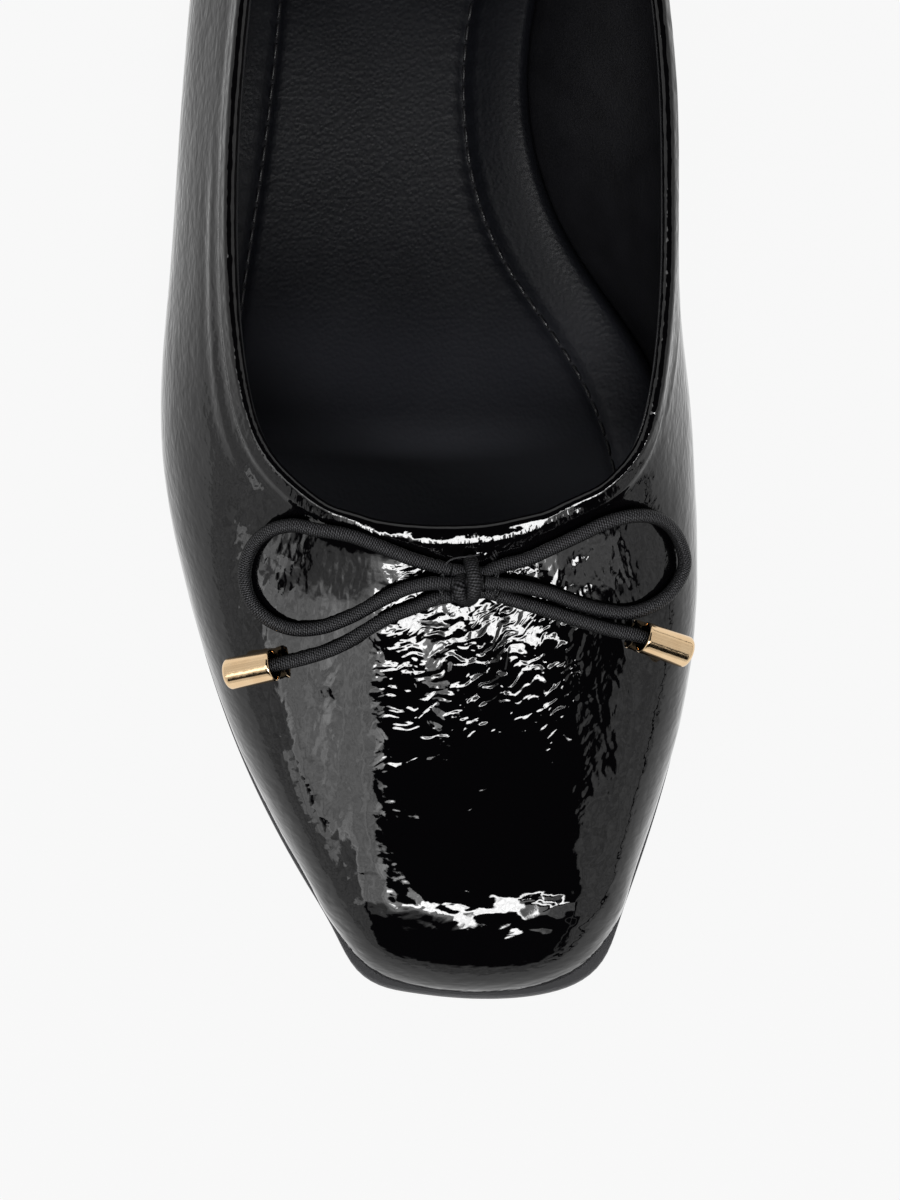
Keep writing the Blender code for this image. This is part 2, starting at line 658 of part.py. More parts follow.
def make_knot(read, material, collection):
    """Two turns of cord side by side over the strands, as one body with a groove between them."""
    middle_x, middle_y = KNOT_PLACE[0] * WIDTH, KNOT_PLACE[1] * LENGTH
    points = []
    for section in range(KNOT_SECTIONS):
        along = -math.cos(math.pi * (section + 0.5) / KNOT_SECTIONS)
        swell = math.sqrt(1.0 - along ** 4)
        for k in range(KNOT_SIDES):
            turn = 2.0 * math.pi * k / KNOT_SIDES
            across = 0.5 * KNOT_WIDTH * swell * math.cos(turn)
            x = middle_x + across
            y = middle_y + 0.5 * KNOT_LENGTH * along + KNOT_SKEW * across
            groove = KNOT_GROOVE * swell * max(0.0, math.sin(turn)) ** 4
            rise = 0.5 * KNOT_HEIGHT * swell * (1.0 + math.sin(turn)) - groove
            point, _ = read(x, y)
            points.append((x, y, point[2] + GAP + rise))
    faces = ring_faces(KNOT_SECTIONS, KNOT_SIDES)
    faces.append(tuple(range(KNOT_SIDES)))
    faces.append(tuple(range((KNOT_SECTIONS - 1) * KNOT_SIDES, KNOT_SECTIONS * KNOT_SIDES)))
    add_part("bow_knot", points, faces, material, collection, sharp_degrees=60.0)


def make_bow(last, cord, gold, collection):
    """Two loops, two ends with their tips, and the knot that holds them."""
    read = vamp_reader(last)
    add_cord("bow_loop_left", resting_points(read, LOOP_LEFT), cord, collection)
    add_cord("bow_loop_right", resting_points(read, LOOP_RIGHT), cord, collection)
    add_cord("bow_end_left", cord_into_tip(read, END_LEFT, TIP_LEFT), cord, collection)
    add_cord("bow_end_right", cord_into_tip(read, END_RIGHT, TIP_RIGHT), cord, collection)
    make_knot(read, cord, collection)
    make_aglet("aglet_left", tip_frame(read, TIP_LEFT), gold, collection)
    make_aglet("aglet_right", tip_frame(read, TIP_RIGHT), gold, collection)


# Assembly

def clear_scene():
    """An empty scene to build in."""
    for item in list(bpy.data.objects):
        bpy.data.objects.remove(item, do_unlink=True)


def centre_offset(last):
    """The move that puts the middle of the shoe's footprint on the origin."""
    points = np.concatenate(upper_rings(last) + [sole_outline(last)])
    low, high = points.min(axis=0), points.max(axis=0)
    return Vector((-0.5 * (low[0] + high[0]), -0.5 * (low[1] + high[1]), 0.0))


def main():
    clear_scene()
    collection = bpy.data.collections.new("ballet_flat")
    bpy.context.scene.collection.children.link(collection)
    patent = make_material("patent", (0.010, 0.010, 0.011), 0.18, coat=1.0)
    rubber = make_material("sole_rubber", (0.028, 0.028, 0.029), 0.62)
    lining = make_material("sock_leather", (0.012, 0.013, 0.016), 0.50)
    cord = make_material("elastic_cord", (0.016, 0.016, 0.017), 0.55)
    gold = make_material("pale_gold", (0.86, 0.66, 0.42), 0.16, metallic=1.0)
    last = Last()
    make_outsole(last, rubber, collection)
    make_heel(last, rubber, collection)
    make_upper(last, patent, collection)
    make_insole(last, lining, collection)
    make_bow(last, cord, gold, collection)
    shift = centre_offset(last)
    for part in collection.objects:
        part.location += shift


main()
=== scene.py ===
import math
from collections import namedtuple

import bmesh
import bpy
import numpy as np
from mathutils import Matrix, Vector, noise
from mathutils.bvhtree import BVHTree


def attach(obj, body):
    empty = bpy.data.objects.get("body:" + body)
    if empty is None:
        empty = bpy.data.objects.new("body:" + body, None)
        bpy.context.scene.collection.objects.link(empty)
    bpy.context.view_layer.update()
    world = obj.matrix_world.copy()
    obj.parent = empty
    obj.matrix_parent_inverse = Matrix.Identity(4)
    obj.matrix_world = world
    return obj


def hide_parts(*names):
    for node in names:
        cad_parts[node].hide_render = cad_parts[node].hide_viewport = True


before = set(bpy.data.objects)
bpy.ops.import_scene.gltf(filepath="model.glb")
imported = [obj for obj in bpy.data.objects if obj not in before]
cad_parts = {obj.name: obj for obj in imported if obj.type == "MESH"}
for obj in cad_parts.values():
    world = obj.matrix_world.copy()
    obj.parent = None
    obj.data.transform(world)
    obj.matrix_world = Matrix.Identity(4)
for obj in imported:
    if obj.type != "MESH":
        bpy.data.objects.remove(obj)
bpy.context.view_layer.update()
MM = 0.001

# The last, the same as the frame's own
LENGTH = 0.252
WIDTH = 0.085
TOPLINE_HEIGHT = 0.064
TOE_SPRING = 0.0060
HEEL_HEIGHT = 0.0085
WALL = 0.0018
EDGE_WIDTH = 0.0022
EDGE_STEP = 0.0003
SOLE_THICKNESS = 0.0038
SOLE_RIM = 0.0008
SOLE_ROUNDING = 0.0007
HEEL_SETBACK = 0.0012
HEEL_TAPER = 0.0014
HEEL_BREAST = 0.192
BREAST_HOLLOW = 0.0045
INSOLE_THICKNESS = 0.0034
INSOLE_BORDER = 0.0090
INSOLE_PUFF = 0.0013
INSOLE_GROOVE = 0.0008
ARCH_RISE = 0.0036
CORD_DIAMETER = 0.0022
CORD_IN_AGLET = 0.0042
AGLET_DIAMETER = 0.0050
AGLET_LENGTH = 0.0082
AGLET_WALL = 0.0004
GAP = 0.0003
TOE_FLAT = 0.22
TOE_CURVE = 2.2
SHANK_START = 0.38
SHANK_END = 0.72
CAD_HALF_COLUMNS = 42
CAD_ROWS = (0.0, 0.05, 0.12, 0.20, 0.29, 0.38, 0.48, 0.58, 0.68, 0.78, 0.88, 1.0)
CAD_EDGE_ROWS = (0.15, 0.60, 1.0)

COLUMNS = "name foot_x foot_y top_x top_y top_z swell lean rise reach fall rim border arch"
Station = namedtuple("Station", COLUMNS, defaults=(0.50, 1.00, 0.0))
STATIONS = (
    ("toe", 0.096, -0.498, 0.053, -0.220, 0.594, 0.006, 0.0, 0.61, 0.58, 0.58, 0.87),
    ("toe_lateral", -0.038, -0.493, -0.038, -0.219, 0.594, 0.007, 0.0, 0.61, 0.58, 0.58, 1.12),
    ("corner_lateral", -0.125, -0.479, -0.101, -0.216, 0.595, 0.011, 0.0, 0.61, 0.58, 0.58, 1.50),
    ("side_lateral", -0.175, -0.456, -0.132, -0.213, 0.597, 0.014, 0.0, 0.62, 0.57, 0.57),
    ("cap_lateral", -0.228, -0.425, -0.165, -0.210, 0.597, 0.019, 0.0, 0.68, 0.58, 0.54),
    ("vamp_lateral", -0.339, -0.353, -0.226, -0.198, 0.600, 0.024, 0.0, 0.69, 0.58, 0.46),
    ("ball_lateral", -0.425, -0.272, -0.285, -0.179, 0.606, 0.029, 0.0, 0.66, 0.57, 0.35),
    ("joint_lateral", -0.488, -0.167, -0.333, -0.145, 0.619, 0.042, 0.0, 0.60, 0.53, 0.27),
    ("shank_lateral", -0.478, -0.060, -0.364, -0.071, 0.641, 0.049, 0.0, 0.52, 0.50, 0.26),
    ("waist_lateral", -0.434, 0.040, -0.362, 0.040, 0.681, 0.094, 0.0, 0.48, 0.56, 0.28, 0.50, 1.04),
    ("quarter_lateral", -0.398, 0.143, -0.336, 0.139, 0.728, 0.115, 0.0, 0.48, 0.60, 0.30, 0.50, 1.02),
    ("ankle_lateral", -0.376, 0.250, -0.315, 0.242, 0.787, 0.099, 0.0, 0.46, 0.70, 0.32),
    ("heel_lateral", -0.353, 0.357, -0.289, 0.349, 0.869, 0.073, 0.0, 0.44, 0.80, 0.34),
    ("back_lateral", -0.278, 0.448, -0.238, 0.435, 0.959, 0.059, 0.0, 0.42, 0.90, 0.36),
    ("back", -0.038, 0.492, -0.038, 0.478, 1.000, 0.054, 0.0, 0.38, 1.00, 0.36),
    ("back_medial", 0.202, 0.448, 0.165, 0.435, 0.963, 0.059, 0.0, 0.42, 0.90, 0.36),
    ("heel_medial", 0.280, 0.357, 0.249, 0.349, 0.881, 0.071, 0.005, 0.44, 0.60, 0.34, 0.50, 1.00, 0.1),
    ("ankle_medial", 0.278, 0.250, 0.339, 0.242, 0.819, 0.076, 0.031, 0.42, 0.20, 0.34, 0.50, 1.06, 0.6),
    ("quarter_medial", 0.207, 0.143, 0.405, 0.143, 0.775, 0.047, 0.078, 0.40, 0.00, 0.34, 0.50, 1.16, 1.0),
    ("waist_medial", 0.188, 0.052, 0.435, 0.048, 0.744, 0.035, 0.101, 0.36, 0.00, 0.36, 0.50, 1.18, 1.0),
    ("arch_medial", 0.282, -0.024, 0.441, -0.022, 0.716, 0.028, 0.089, 0.38, 0.00, 0.34, 0.50, 1.36, 0.7),
    ("shank_medial", 0.426, -0.095, 0.440, -0.081, 0.681, 0.047, 0.042, 0.46, 0.00, 0.32, 0.50, 1.38, 0.3),
    ("joint_medial", 0.481, -0.179, 0.416, -0.147, 0.644, 0.046, 0.007, 0.52, 0.30, 0.30, 0.50, 1.04),
    ("ball_medial", 0.487, -0.262, 0.374, -0.177, 0.622, 0.040, 0.0, 0.62, 0.50, 0.34, 0.50, 0.96),
    ("vamp_medial", 0.452, -0.341, 0.313, -0.196, 0.608, 0.031, 0.0, 0.67, 0.56, 0.44),
    ("cap_medial", 0.382, -0.419, 0.247, -0.206, 0.598, 0.021, 0.0, 0.67, 0.57, 0.54),
    ("side_medial", 0.348, -0.451, 0.214, -0.211, 0.597, 0.016, 0.0, 0.62, 0.57, 0.57, 0.62),
    ("corner_medial", 0.306, -0.474, 0.176, -0.214, 0.595, 0.012, 0.0, 0.61, 0.58, 0.58, 1.88),
    ("toe_medial", 0.222, -0.492, 0.120, -0.218, 0.594, 0.007, 0.0, 0.61, 0.58, 0.58, 1.50),
)
BACK_STATION = 14
SPINE_TOE = (0.09, -0.385)
SPINE_HEEL = (-0.038, 0.385)

# The bow's strands over the vamp: x as a share of WIDTH, y of LENGTH, and the lift in cord diameters
LOOP_LEFT = (
    (0.040, -0.244, 0.0), (-0.025, -0.238, 0.0), (-0.085, -0.229, 0.0), (-0.142, -0.222, 0.1),
    (-0.195, -0.217, 0.2), (-0.241, -0.215, 0.2), (-0.288, -0.219, 0.1), (-0.320, -0.229, 0.0),
    (-0.332, -0.244, 0.0), (-0.322, -0.259, 0.0), (-0.292, -0.271, 0.0), (-0.247, -0.278, 0.0),
    (-0.196, -0.278, 0.0), (-0.141, -0.272, 0.0), (-0.085, -0.262, 0.0), (-0.034, -0.254, 0.3),
    (0.006, -0.251, 0.6), (0.040, -0.251, 0.6),
)
LOOP_RIGHT = (
    (0.099, -0.246, 0.0), (0.135, -0.241, 0.0), (0.177, -0.237, 0.0), (0.218, -0.231, 0.0),
    (0.269, -0.222, 0.1), (0.321, -0.213, 0.2), (0.367, -0.209, 0.2), (0.413, -0.211, 0.1),
    (0.445, -0.222, 0.0), (0.456, -0.237, 0.0), (0.442, -0.250, 0.0), (0.412, -0.261, 0.0),
    (0.361, -0.268, 0.0), (0.310, -0.267, 0.0), (0.263, -0.263, 0.0), (0.213, -0.257, 0.2),
    (0.163, -0.253, 0.5), (0.099, -0.251, 0.7),
)
END_LEFT = (
    (0.040, -0.260, 0.0), (0.015, -0.261, 0.0), (-0.025, -0.266, 0.0), (-0.070, -0.272, 0.0),
    (-0.116, -0.281, 0.0), (-0.167, -0.290, 0.0), (-0.212, -0.295, 0.1),
)
END_RIGHT = (
    (0.099, -0.257, 0.0), (0.123, -0.259, 0.0), (0.164, -0.263, 0.0), (0.214, -0.268, 0.0),
    (0.262, -0.273, 0.0), (0.318, -0.278, 0.1),
)

# The tips: where the open end stands over the vamp, the heading of the closed end in plan, and its fall
Tip = namedtuple("Tip", "x y heading_degrees fall_degrees")
TIP_LEFT = Tip(-0.272, -0.2990, 188.0, 24.0)
TIP_RIGHT = Tip(0.380, -0.2820, -16.0, 24.0)


# The sole's line and the last's columns

def underside(y):
    """Height of the outsole's underside."""
    along = (np.asarray(y) + 0.5 * LENGTH) / LENGTH
    toe = np.clip((TOE_FLAT - along) / TOE_FLAT, 0.0, 1.5) ** TOE_CURVE
    climb = np.clip((along - SHANK_START) / (SHANK_END - SHANK_START), 0.0, 1.0)
    climb = climb ** 3 * (climb * (climb * 6.0 - 15.0) + 10.0)
    return TOE_SPRING * toe + HEEL_HEIGHT * climb


def sole_top(y):
    """Height of the outsole's upper face."""
    return underside(y) + SOLE_THICKNESS


def closed_slopes(knots, values):
    """Slopes at the knots of a closed cubic curve whose curvature has no jumps."""
    gaps = np.diff(knots)
    rises = np.roll(values, -1, axis=0) - values
    count = len(gaps)
    system = np.zeros((count, count))
    right = np.zeros_like(values)
    for i in range(count):
        before, after = gaps[i - 1], gaps[i]
        system[i, i - 1] += 1.0 / before
        system[i, i] += 2.0 / before + 2.0 / after
        system[i, (i + 1) % count] += 1.0 / after
        right[i] = 3.0 * (rises[i - 1] / before ** 2 + rises[i] / after ** 2)
    return np.linalg.solve(system, right)


def cubic(knots, values, slopes, places):
    """Reads a smooth curve through the rows of values; with as many values as gaps it is closed."""
    gaps = np.diff(knots)
    index = np.clip(np.searchsorted(knots, places, side="right") - 1, 0, len(gaps) - 1)
    share = ((places - knots[index]) / gaps[index])[:, None]
    width = gaps[index][:, None]
    after = (index + 1) % len(values)
    return ((1.0 + 2.0 * share) * (1.0 - share) ** 2 * values[index]
            + share * (1.0 - share) ** 2 * width * slopes[index]
            + share ** 2 * (3.0 - 2.0 * share) * values[after]
            + share ** 2 * (share - 1.0) * width * slopes[after])


def run_lengths(path):
    """How far along the path each of its points lies."""
    return np.concatenate([[0.0], np.cumsum(np.linalg.norm(np.diff(path, axis=0), axis=1))])


def ring_steps(ring):
    """The distance from each point of a closed ring to the next."""
    return np.linalg.norm(np.roll(ring, -1, axis=0) - ring, axis=1)


def read_columns(half):
    """The stations' values at each column."""
    table = np.array([Station(*row)[1:] for row in STATIONS])
    plan = np.array([WIDTH, LENGTH])
    middle = 0.5 * (table[:, 0:2] + table[:, 2:4]) * plan
    knots = np.concatenate([[0.0], np.cumsum(ring_steps(middle))])
    places = np.concatenate([
        np.linspace(0.0, knots[BACK_STATION], half, endpoint=False),
        np.linspace(knots[BACK_STATION], knots[-1], half, endpoint=False),
    ])
    return Station("columns", *cubic(knots, table, closed_slopes(knots, table), places).T)


def unit(vectors):
    return vectors / np.linalg.norm(vectors, axis=-1, keepdims=True)


def plan_normals(ring):
    """Level unit normals that point out of a closed ring of points."""
    along = np.roll(ring, -1, axis=0) - np.roll(ring, 1, axis=0)
    return unit(np.stack([-along[:, 1], along[:, 0], np.zeros(len(ring))], axis=1))


class Last:
    """The upper's outer surface, as one bent column of wall after another round the shoe."""

    def __init__(self, half):
        self.columns = read_columns(half)
        c = self.columns
        foot_y = c.foot_y * LENGTH
        self.foot = np.stack([c.foot_x * WIDTH, foot_y, sole_top(foot_y) + GAP], axis=1)
        self.top = np.stack([c.top_x * WIDTH, c.top_y * LENGTH, c.top_z * TOPLINE_HEIGHT], axis=1)
        self.away = plan_normals(self.foot)
        height = self.top[:, 2] - self.foot[:, 2]
        low = self.foot + self.away * (c.swell * WIDTH)[:, None]
        low[:, 2] = self.foot[:, 2] + c.rise * height
        high = self.top + (self.foot - self.top) * c.reach[:, None]
        high += self.away * (c.lean * WIDTH)[:, None]
        high[:, 2] = self.top[:, 2] - c.fall * height
        self.handles = (self.foot, low, high, self.top)

    def at(self, share, shift=0):
        a, b, c, d = (np.roll(h, shift, axis=0) for h in self.handles)
        v = np.broadcast_to(share, len(a))[:, None]
        return a * (1 - v) ** 3 + 3 * b * v * (1 - v) ** 2 + 3 * c * v ** 2 * (1 - v) + d * v ** 3

    def upward(self, share):
        a, b, c, d = self.handles
        v = np.broadcast_to(share, len(a))[:, None]
        return 3 * (b - a) * (1 - v) ** 2 + 6 * (c - b) * v * (1 - v) + 3 * (d - c) * v ** 2

    def outward(self, share):
        around = self.at(share, -1) - self.at(share, 1)
        return unit(np.cross(self.upward(share), around))

    def wall(self, share, depth):
        return self.at(share) - np.reshape(depth, (-1, 1)) * self.outward(share)

    def wall_at(self, rise, depth):
        """Points at a depth inside the outer surface that stand this far above the sole."""
        shares = np.linspace(0.0, 0.6, 61)
        stacks = np.array([self.wall(share, depth) for share in shares])
        over = stacks[:, :, 2] - sole_top(stacks[:, :, 1])
        wanted = np.broadcast_to(rise, len(self.foot))
        found = np.array([np.interp(w, heights, shares) for w, heights in zip(wanted, over.T)])
        return self.wall(found, depth)


def edge_shares(last):
    reach = np.linalg.norm(last.upward(1.0), axis=1)
    radius = 0.5 * (WALL + EDGE_STEP)
    return 1.0 - (EDGE_WIDTH + radius) / reach, 1.0 - radius / reach


def sole_outline(last, inset=0.0):
    rim = (last.columns.rim * SOLE_RIM - inset)[:, None]
    return last.foot + last.away * rim


def centre_offset():
    """The frame's own move that puts the middle of the shoe's footprint on the origin."""
    last = Last(CAD_HALF_COLUMNS)
    edge_foot, edge_top = edge_shares(last)
    rings = [last.wall(edge_foot * row, 0.0) for row in CAD_ROWS]
    for way in CAD_EDGE_ROWS:
        rings.append(last.wall(edge_foot + (edge_top - edge_foot) * way, -EDGE_STEP))
    rings.append(sole_outline(last))
    points = np.concatenate(rings)
    low, high = points.min(axis=0), points.max(axis=0)
    return np.array([-0.5 * (low[0] + high[0]), -0.5 * (low[1] + high[1]), 0.0])


SHIFT = centre_offset()
HALF = 240
last = Last(HALF)


# Mesh helpers

def ring_faces(rings, count):
    """Quads between each ring of points and the next."""
    faces = []
    for low in range(rings - 1):
        high = low + 1
        for i in range(count):
            j = (i + 1) % count
            faces.append((low * count + i, low * count + j, high * count + j, high * count + i))
    return faces


def closed_faces(rings, count):
    """The quads of a stack of rings and one face over each end."""
    last_ring = (rings - 1) * count
    ends = [tuple(range(count)), tuple(range(last_ring, last_ring + count))]
    return ring_faces(rings, count) + ends


def smooth_step(low, high, x):
    t = np.clip((np.asarray(x, float) - low) / (high - low), 0.0, 1.0)
    return t * t * (3.0 - 2.0 * t)


def field(points, scale, seed):
    """Smooth noise between about -1 and 1 at each point; scale is the size of its waves in metres."""
    offset = Vector((13.7 * seed, -7.3 * seed, 5.1 * seed))
    return np.array([noise.noise(Vector(p) / scale + offset) for p in points])


SHARP_EDGE = 40.0


def add_mesh(name, points, faces, material, node, attributes=None, sharp=None):
    """A piece of the visual model, moved as the frame is; attributes are numbers or vectors on its points."""
    mesh = bpy.data.meshes.new(name)
    mesh.from_pydata([tuple(p) for p in np.asarray(points) + SHIFT], [], faces)
    for key, values in (attributes or {}).items():
        values = np.asarray(values, dtype=np.float32)
        kind, part = ("FLOAT", "value") if values.ndim == 1 else ("FLOAT_VECTOR", "vector")
        mesh.attributes.new(key, kind, "POINT").data.foreach_set(part, values.ravel())
    mesh.shade_smooth()
    if sharp is not None:
        mesh.set_sharp_from_angle(angle=math.radians(sharp))
    mesh.materials.append(material)
    work = bmesh.new()
    work.from_mesh(mesh)
    bmesh.ops.recalc_face_normals(work, faces=work.faces)
    work.to_mesh(mesh)
    work.free()
    piece = bpy.data.objects.new(name, mesh)
    bpy.context.scene.collection.objects.link(piece)
    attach(piece, "root")
    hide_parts(node)
    return piece


# Materials

class Nodes:
    """A small builder of node trees."""

    def __init__(self, tree):
        self.tree = tree

    def node(self, kind, **settings):
        made = self.tree.nodes.new(kind)
        inputs = settings.pop("inputs", {})
        for key, value in settings.items():
            setattr(made, key, value)
        for key, value in inputs.items():
            self.put(made.inputs[key], value)
        return made

    def put(self, socket, value):
        if isinstance(value, bpy.types.NodeSocket):
            self.tree.links.new(value, socket)
        elif socket.type == "RGBA":
            socket.default_value = (*value, 1.0)
        else:
            socket.default_value = value

    def math(self, operation, *values):
        made = self.node("ShaderNodeMath", operation=operation)
        for socket, value in zip(made.inputs, values):
            self.put(socket, value)
        return made.outputs[0]

    def chain(self, operation, first, others):
        for other in others:
            first = self.math(operation, first, other)
        return first

    def times(self, first, *others):
        return self.chain("MULTIPLY", first, others)

    def plus(self, first, *others):
        return self.chain("ADD", first, others)

    def minus(self, first, *others):
        return self.chain("SUBTRACT", first, others)

    def spread(self, value, low, high, to_low=0.0, to_high=1.0, smooth=False):
        """The value's place between low and high, as a number between the other two."""
        kind = "SMOOTHSTEP" if smooth else "LINEAR"
        made = self.node("ShaderNodeMapRange", interpolation_type=kind, inputs={
            "Value": value, "From Min": low, "From Max": high, "To Min": to_low, "To Max": to_high})
        return made.outputs["Result"]


class Shader(Nodes):
    """A small builder of node materials."""

    def __init__(self, name):
        self.material = bpy.data.materials.new(name)
        self.material.use_nodes = True
        super().__init__(self.material.node_tree)
        self.principled = self.tree.nodes["Principled BSDF"]

    def attribute(self, name, vector=False):
        made = self.node("ShaderNodeAttribute", attribute_type="GEOMETRY", attribute_name=name)
        return made.outputs["Vector" if vector else "Fac"]

    def scaled(self, vector, scale, turn=0.0):
        """The vector turned about its first axis, then scaled."""
        made = self.node("ShaderNodeMapping", vector_type="TEXTURE", inputs={
            "Vector": vector, "Rotation": (math.radians(turn), 0.0, 0.0), "Scale": [1.0 / n for n in scale]})
        return made.outputs["Vector"]

    def noise(self, vector, scale, detail=2.0, roughness=0.5, distortion=0.0):
        made = self.node("ShaderNodeTexNoise", inputs={
            "Vector": vector, "Scale": scale, "Detail": detail, "Roughness": roughness,
            "Distortion": distortion})
        return made.outputs["Fac"]

    def mix(self, share, a, b):
        return self.node("ShaderNodeMix", data_type="RGBA", inputs={"Factor": share, 6: a, 7: b}).outputs[2]

    def bump(self, height, distance):
        made = self.node("ShaderNodeBump", inputs={"Height": height, "Distance": distance, "Strength": 1.0})
        return made.outputs["Normal"]

    def vary(self, noise, low, high):
        """A number that follows a noise between its two ends."""
        return self.spread(noise, 0.3, 0.7, low, high)

    def blend(self, noise, a, b):
        """A colour that follows a noise between two colours."""
        return self.mix(self.spread(noise, 0.3, 0.7), a, b)

    def place(self):
        return self.node("ShaderNodeTexCoord").outputs["Object"]

    def set(self, **values):
        for key, value in values.items():
            self.put(self.principled.inputs[key.replace("_", " ")], value)


def patent_material():
    """Black patent leather: a mirror coat over crinkled leather, with fine grain along the quarters.

    Noise is set in waves to a millimetre, and each share of the height is in millimetres.
    """
    s = Shader("patent_leather")
    grain = s.attribute("grain", vector=True)
    drift = s.node("ShaderNodeTexNoise", inputs={
        "Vector": grain, "Scale": 0.16, "Detail": 1.0, "Roughness": 0.5}).outputs["Color"]
    bent = s.node("ShaderNodeVectorMath", operation="MULTIPLY_ADD", inputs={
        0: drift, 1: (4.0, 4.0, 4.0), 2: grain}).outputs["Vector"]
    wrinkles = s.noise(s.scaled(bent, (0.31, 0.31, 0.76), -18.0), 1.0, 0.6, 0.45, 0.3)
    small = s.noise(s.scaled(bent, (0.80, 0.80, 1.4), -18.0), 1.0, 0.0, 0.5, 0.3)
    crinkles = s.times(s.plus(s.times(wrinkles, 0.27), s.times(small, 0.045)), s.attribute("crinkle"))
    broad = s.noise(s.scaled(grain, (0.07, 0.07, 0.13)), 1.0, 1.0, 0.5, 0.2)
    ragged = s.noise(s.scaled(grain, (0.5, 0.5, 0.5)), 1.0, 0.0, 0.5, 0.3)
    pores = s.noise(grain, 4.0, 1.0)
    soft = s.plus(s.times(broad, 0.25), s.times(ragged, 0.050), s.times(pores, 0.0016))
    toe_waves = s.noise(s.scaled(grain, (0.27, 0.27, 0.38)), 1.0, 0.3, 0.5, 0.5)
    toe_ripples = s.times(toe_waves, s.attribute("toe"), 0.24)
    fine = s.noise(s.scaled(grain, (0.50, 0.50, 0.95)), 1.0, 1.0, 0.5, 0.2)
    lengthwise = s.times(fine, 0.13, s.attribute("quarter"))
    strokes = s.noise(s.scaled(grain, (1.5, 1.5, 0.6)), 1.0, 0.0, 0.5, 0.2)
    rim = s.times(strokes, s.attribute("rim"), 0.06)
    normal = s.bump(s.plus(crinkles, soft, toe_ripples, lengthwise, rim), MM)
    s.set(Base_Color=(0.0012, 0.0011, 0.0014), Roughness=0.5, Specular_IOR_Level=0.0,
          Coat_Weight=1.0, Coat_Roughness=0.012, Coat_IOR=1.5, Normal=normal, Coat_Normal=normal)
    return s.material


def lining_material():
    """The matte black lining inside the wall, with a soft fibrous nap."""
    s = Shader("wall_lining")
    place = s.place()
    nap = s.noise(place, 2600.0, 2.0, 0.6)
    blot = s.noise(place, 160.0)
    tone = s.blend(blot, (0.0034, 0.0034, 0.0042), (0.0060, 0.0060, 0.0072))
    s.set(Base_Color=tone, Roughness=s.vary(nap, 0.30, 0.40), Specular_IOR_Level=0.42,
          Normal=s.bump(nap, 0.04 * MM))
    return s.material


# Painted light on the insole: its colour is lifted towards the toe, where the vamp shades it. Each row gives
# where the tone starts, where it is full, and its colour
SOCK_PAINTED_LIGHT = (
    (-0.010, -0.024, (0.0090, 0.0094, 0.0120)),
    (-0.031, -0.045, (0.054, 0.056, 0.066)),
    (-0.050, -0.058, (0.078, 0.080, 0.094)),
)


def sock_material():
    """The insole's bluish black leather with a fine round grain; its colour is painted lighter towards the
    toe, as painted light where the vamp shades it.
    """
    s = Shader("sock_leather")
    place = s.place()
    cells = s.node("ShaderNodeTexVoronoi", feature="SMOOTH_F1", inputs={
        "Vector": place, "Scale": 1500.0, "Smoothness": 0.6}).outputs["Distance"]
    wide = s.noise(place, 55.0, 3.0, 0.55)
    speck = s.noise(place, 2400.0, 1.0)
    tone = s.blend(wide, (0.0025, 0.0027, 0.0037), (0.0035, 0.0038, 0.0051))
    tone = s.mix(s.times(s.spread(speck, 0.45, 0.75), 0.30), tone, (0.010, 0.0105, 0.014))
    y = s.node("ShaderNodeSeparateXYZ", inputs={"Vector": place}).outputs["Y"]
    # Painted light: the colour grows lighter towards the toe to even out the vamp's shadow on the insole
    for start, end, painted_light_tone in SOCK_PAINTED_LIGHT:
        tone = s.mix(s.spread(y, start, end, smooth=True), tone, painted_light_tone)
    height = s.plus(s.times(cells, 0.045), s.times(speck, 0.012))
    s.set(Base_Color=tone, Roughness=s.vary(wide, 0.36, 0.46), Specular_IOR_Level=0.13,
          Normal=s.bump(height, MM))
    return s.material


def sole_material():
    """Dark grey moulded sole with a faint grain and small dots on its tread."""
    s = Shader("sole_rubber")
    place = s.place()
    grain = s.noise(place, 1900.0, 2.0, 0.6)
    wide = s.noise(place, 70.0)
    tone = s.blend(wide, (0.036, 0.036, 0.038), (0.050, 0.050, 0.053))
    tread = s.node("ShaderNodeTexVoronoi", feature="F1", inputs={
        "Vector": place, "Scale": 420.0, "Randomness": 0.15}).outputs["Distance"]
    dots = s.times(s.spread(tread, 0.25, 0.45, 1.0, 0.0, smooth=True), s.attribute("under"))
    height = s.plus(s.times(dots, 0.25), s.times(grain, 0.018))
    s.set(Base_Color=tone, Roughness=s.vary(grain, 0.52, 0.68), Specular_IOR_Level=0.35,
          Normal=s.bump(height, MM))
    return s.material


CORD_PITCH_MM = 0.36


def cord_material(name="elastic_cord", light=1.0):
    """Braided elastic: fine slanted ribs across the cord, with pale ticks painted only along its upper side
    as a painted highlight, and dark sides.
    """
    s = Shader(name)
    along = s.attribute("along")
    turn = s.attribute("turn")
    place = s.place()
    waver = s.noise(place, 900.0, 1.0)
    base = s.plus(s.times(along, 2.0 * math.pi / CORD_PITCH_MM), s.times(waver, 2.2))
    ribs = s.math("SINE", s.plus(base, s.times(turn, 2.0)))
    plaits = s.math("SINE", s.minus(s.times(turn, 12.0), s.times(base, 0.5)))
    weave = s.plus(s.times(ribs, 0.5), s.times(plaits, 0.3))
    fuzz = s.noise(place, 5200.0, 2.0, 0.6)
    height = s.plus(s.times(weave, 0.060), s.times(fuzz, 0.018))
    # Painted highlight: the pale ticks follow the weave but show only where the cord faces up
    lit = s.times(s.spread(s.plus(weave, s.times(fuzz, 0.5)), 0.10, 0.9), s.attribute("top"))
    dark, pale = (0.0008, 0.0008, 0.0010), (0.068, 0.068, 0.073)
    tone = s.mix(lit, [light * value for value in dark], [light * value for value in pale])
    s.set(Base_Color=tone, Roughness=0.42, Specular_IOR_Level=0.16, Normal=s.bump(height, MM))
    return s.material


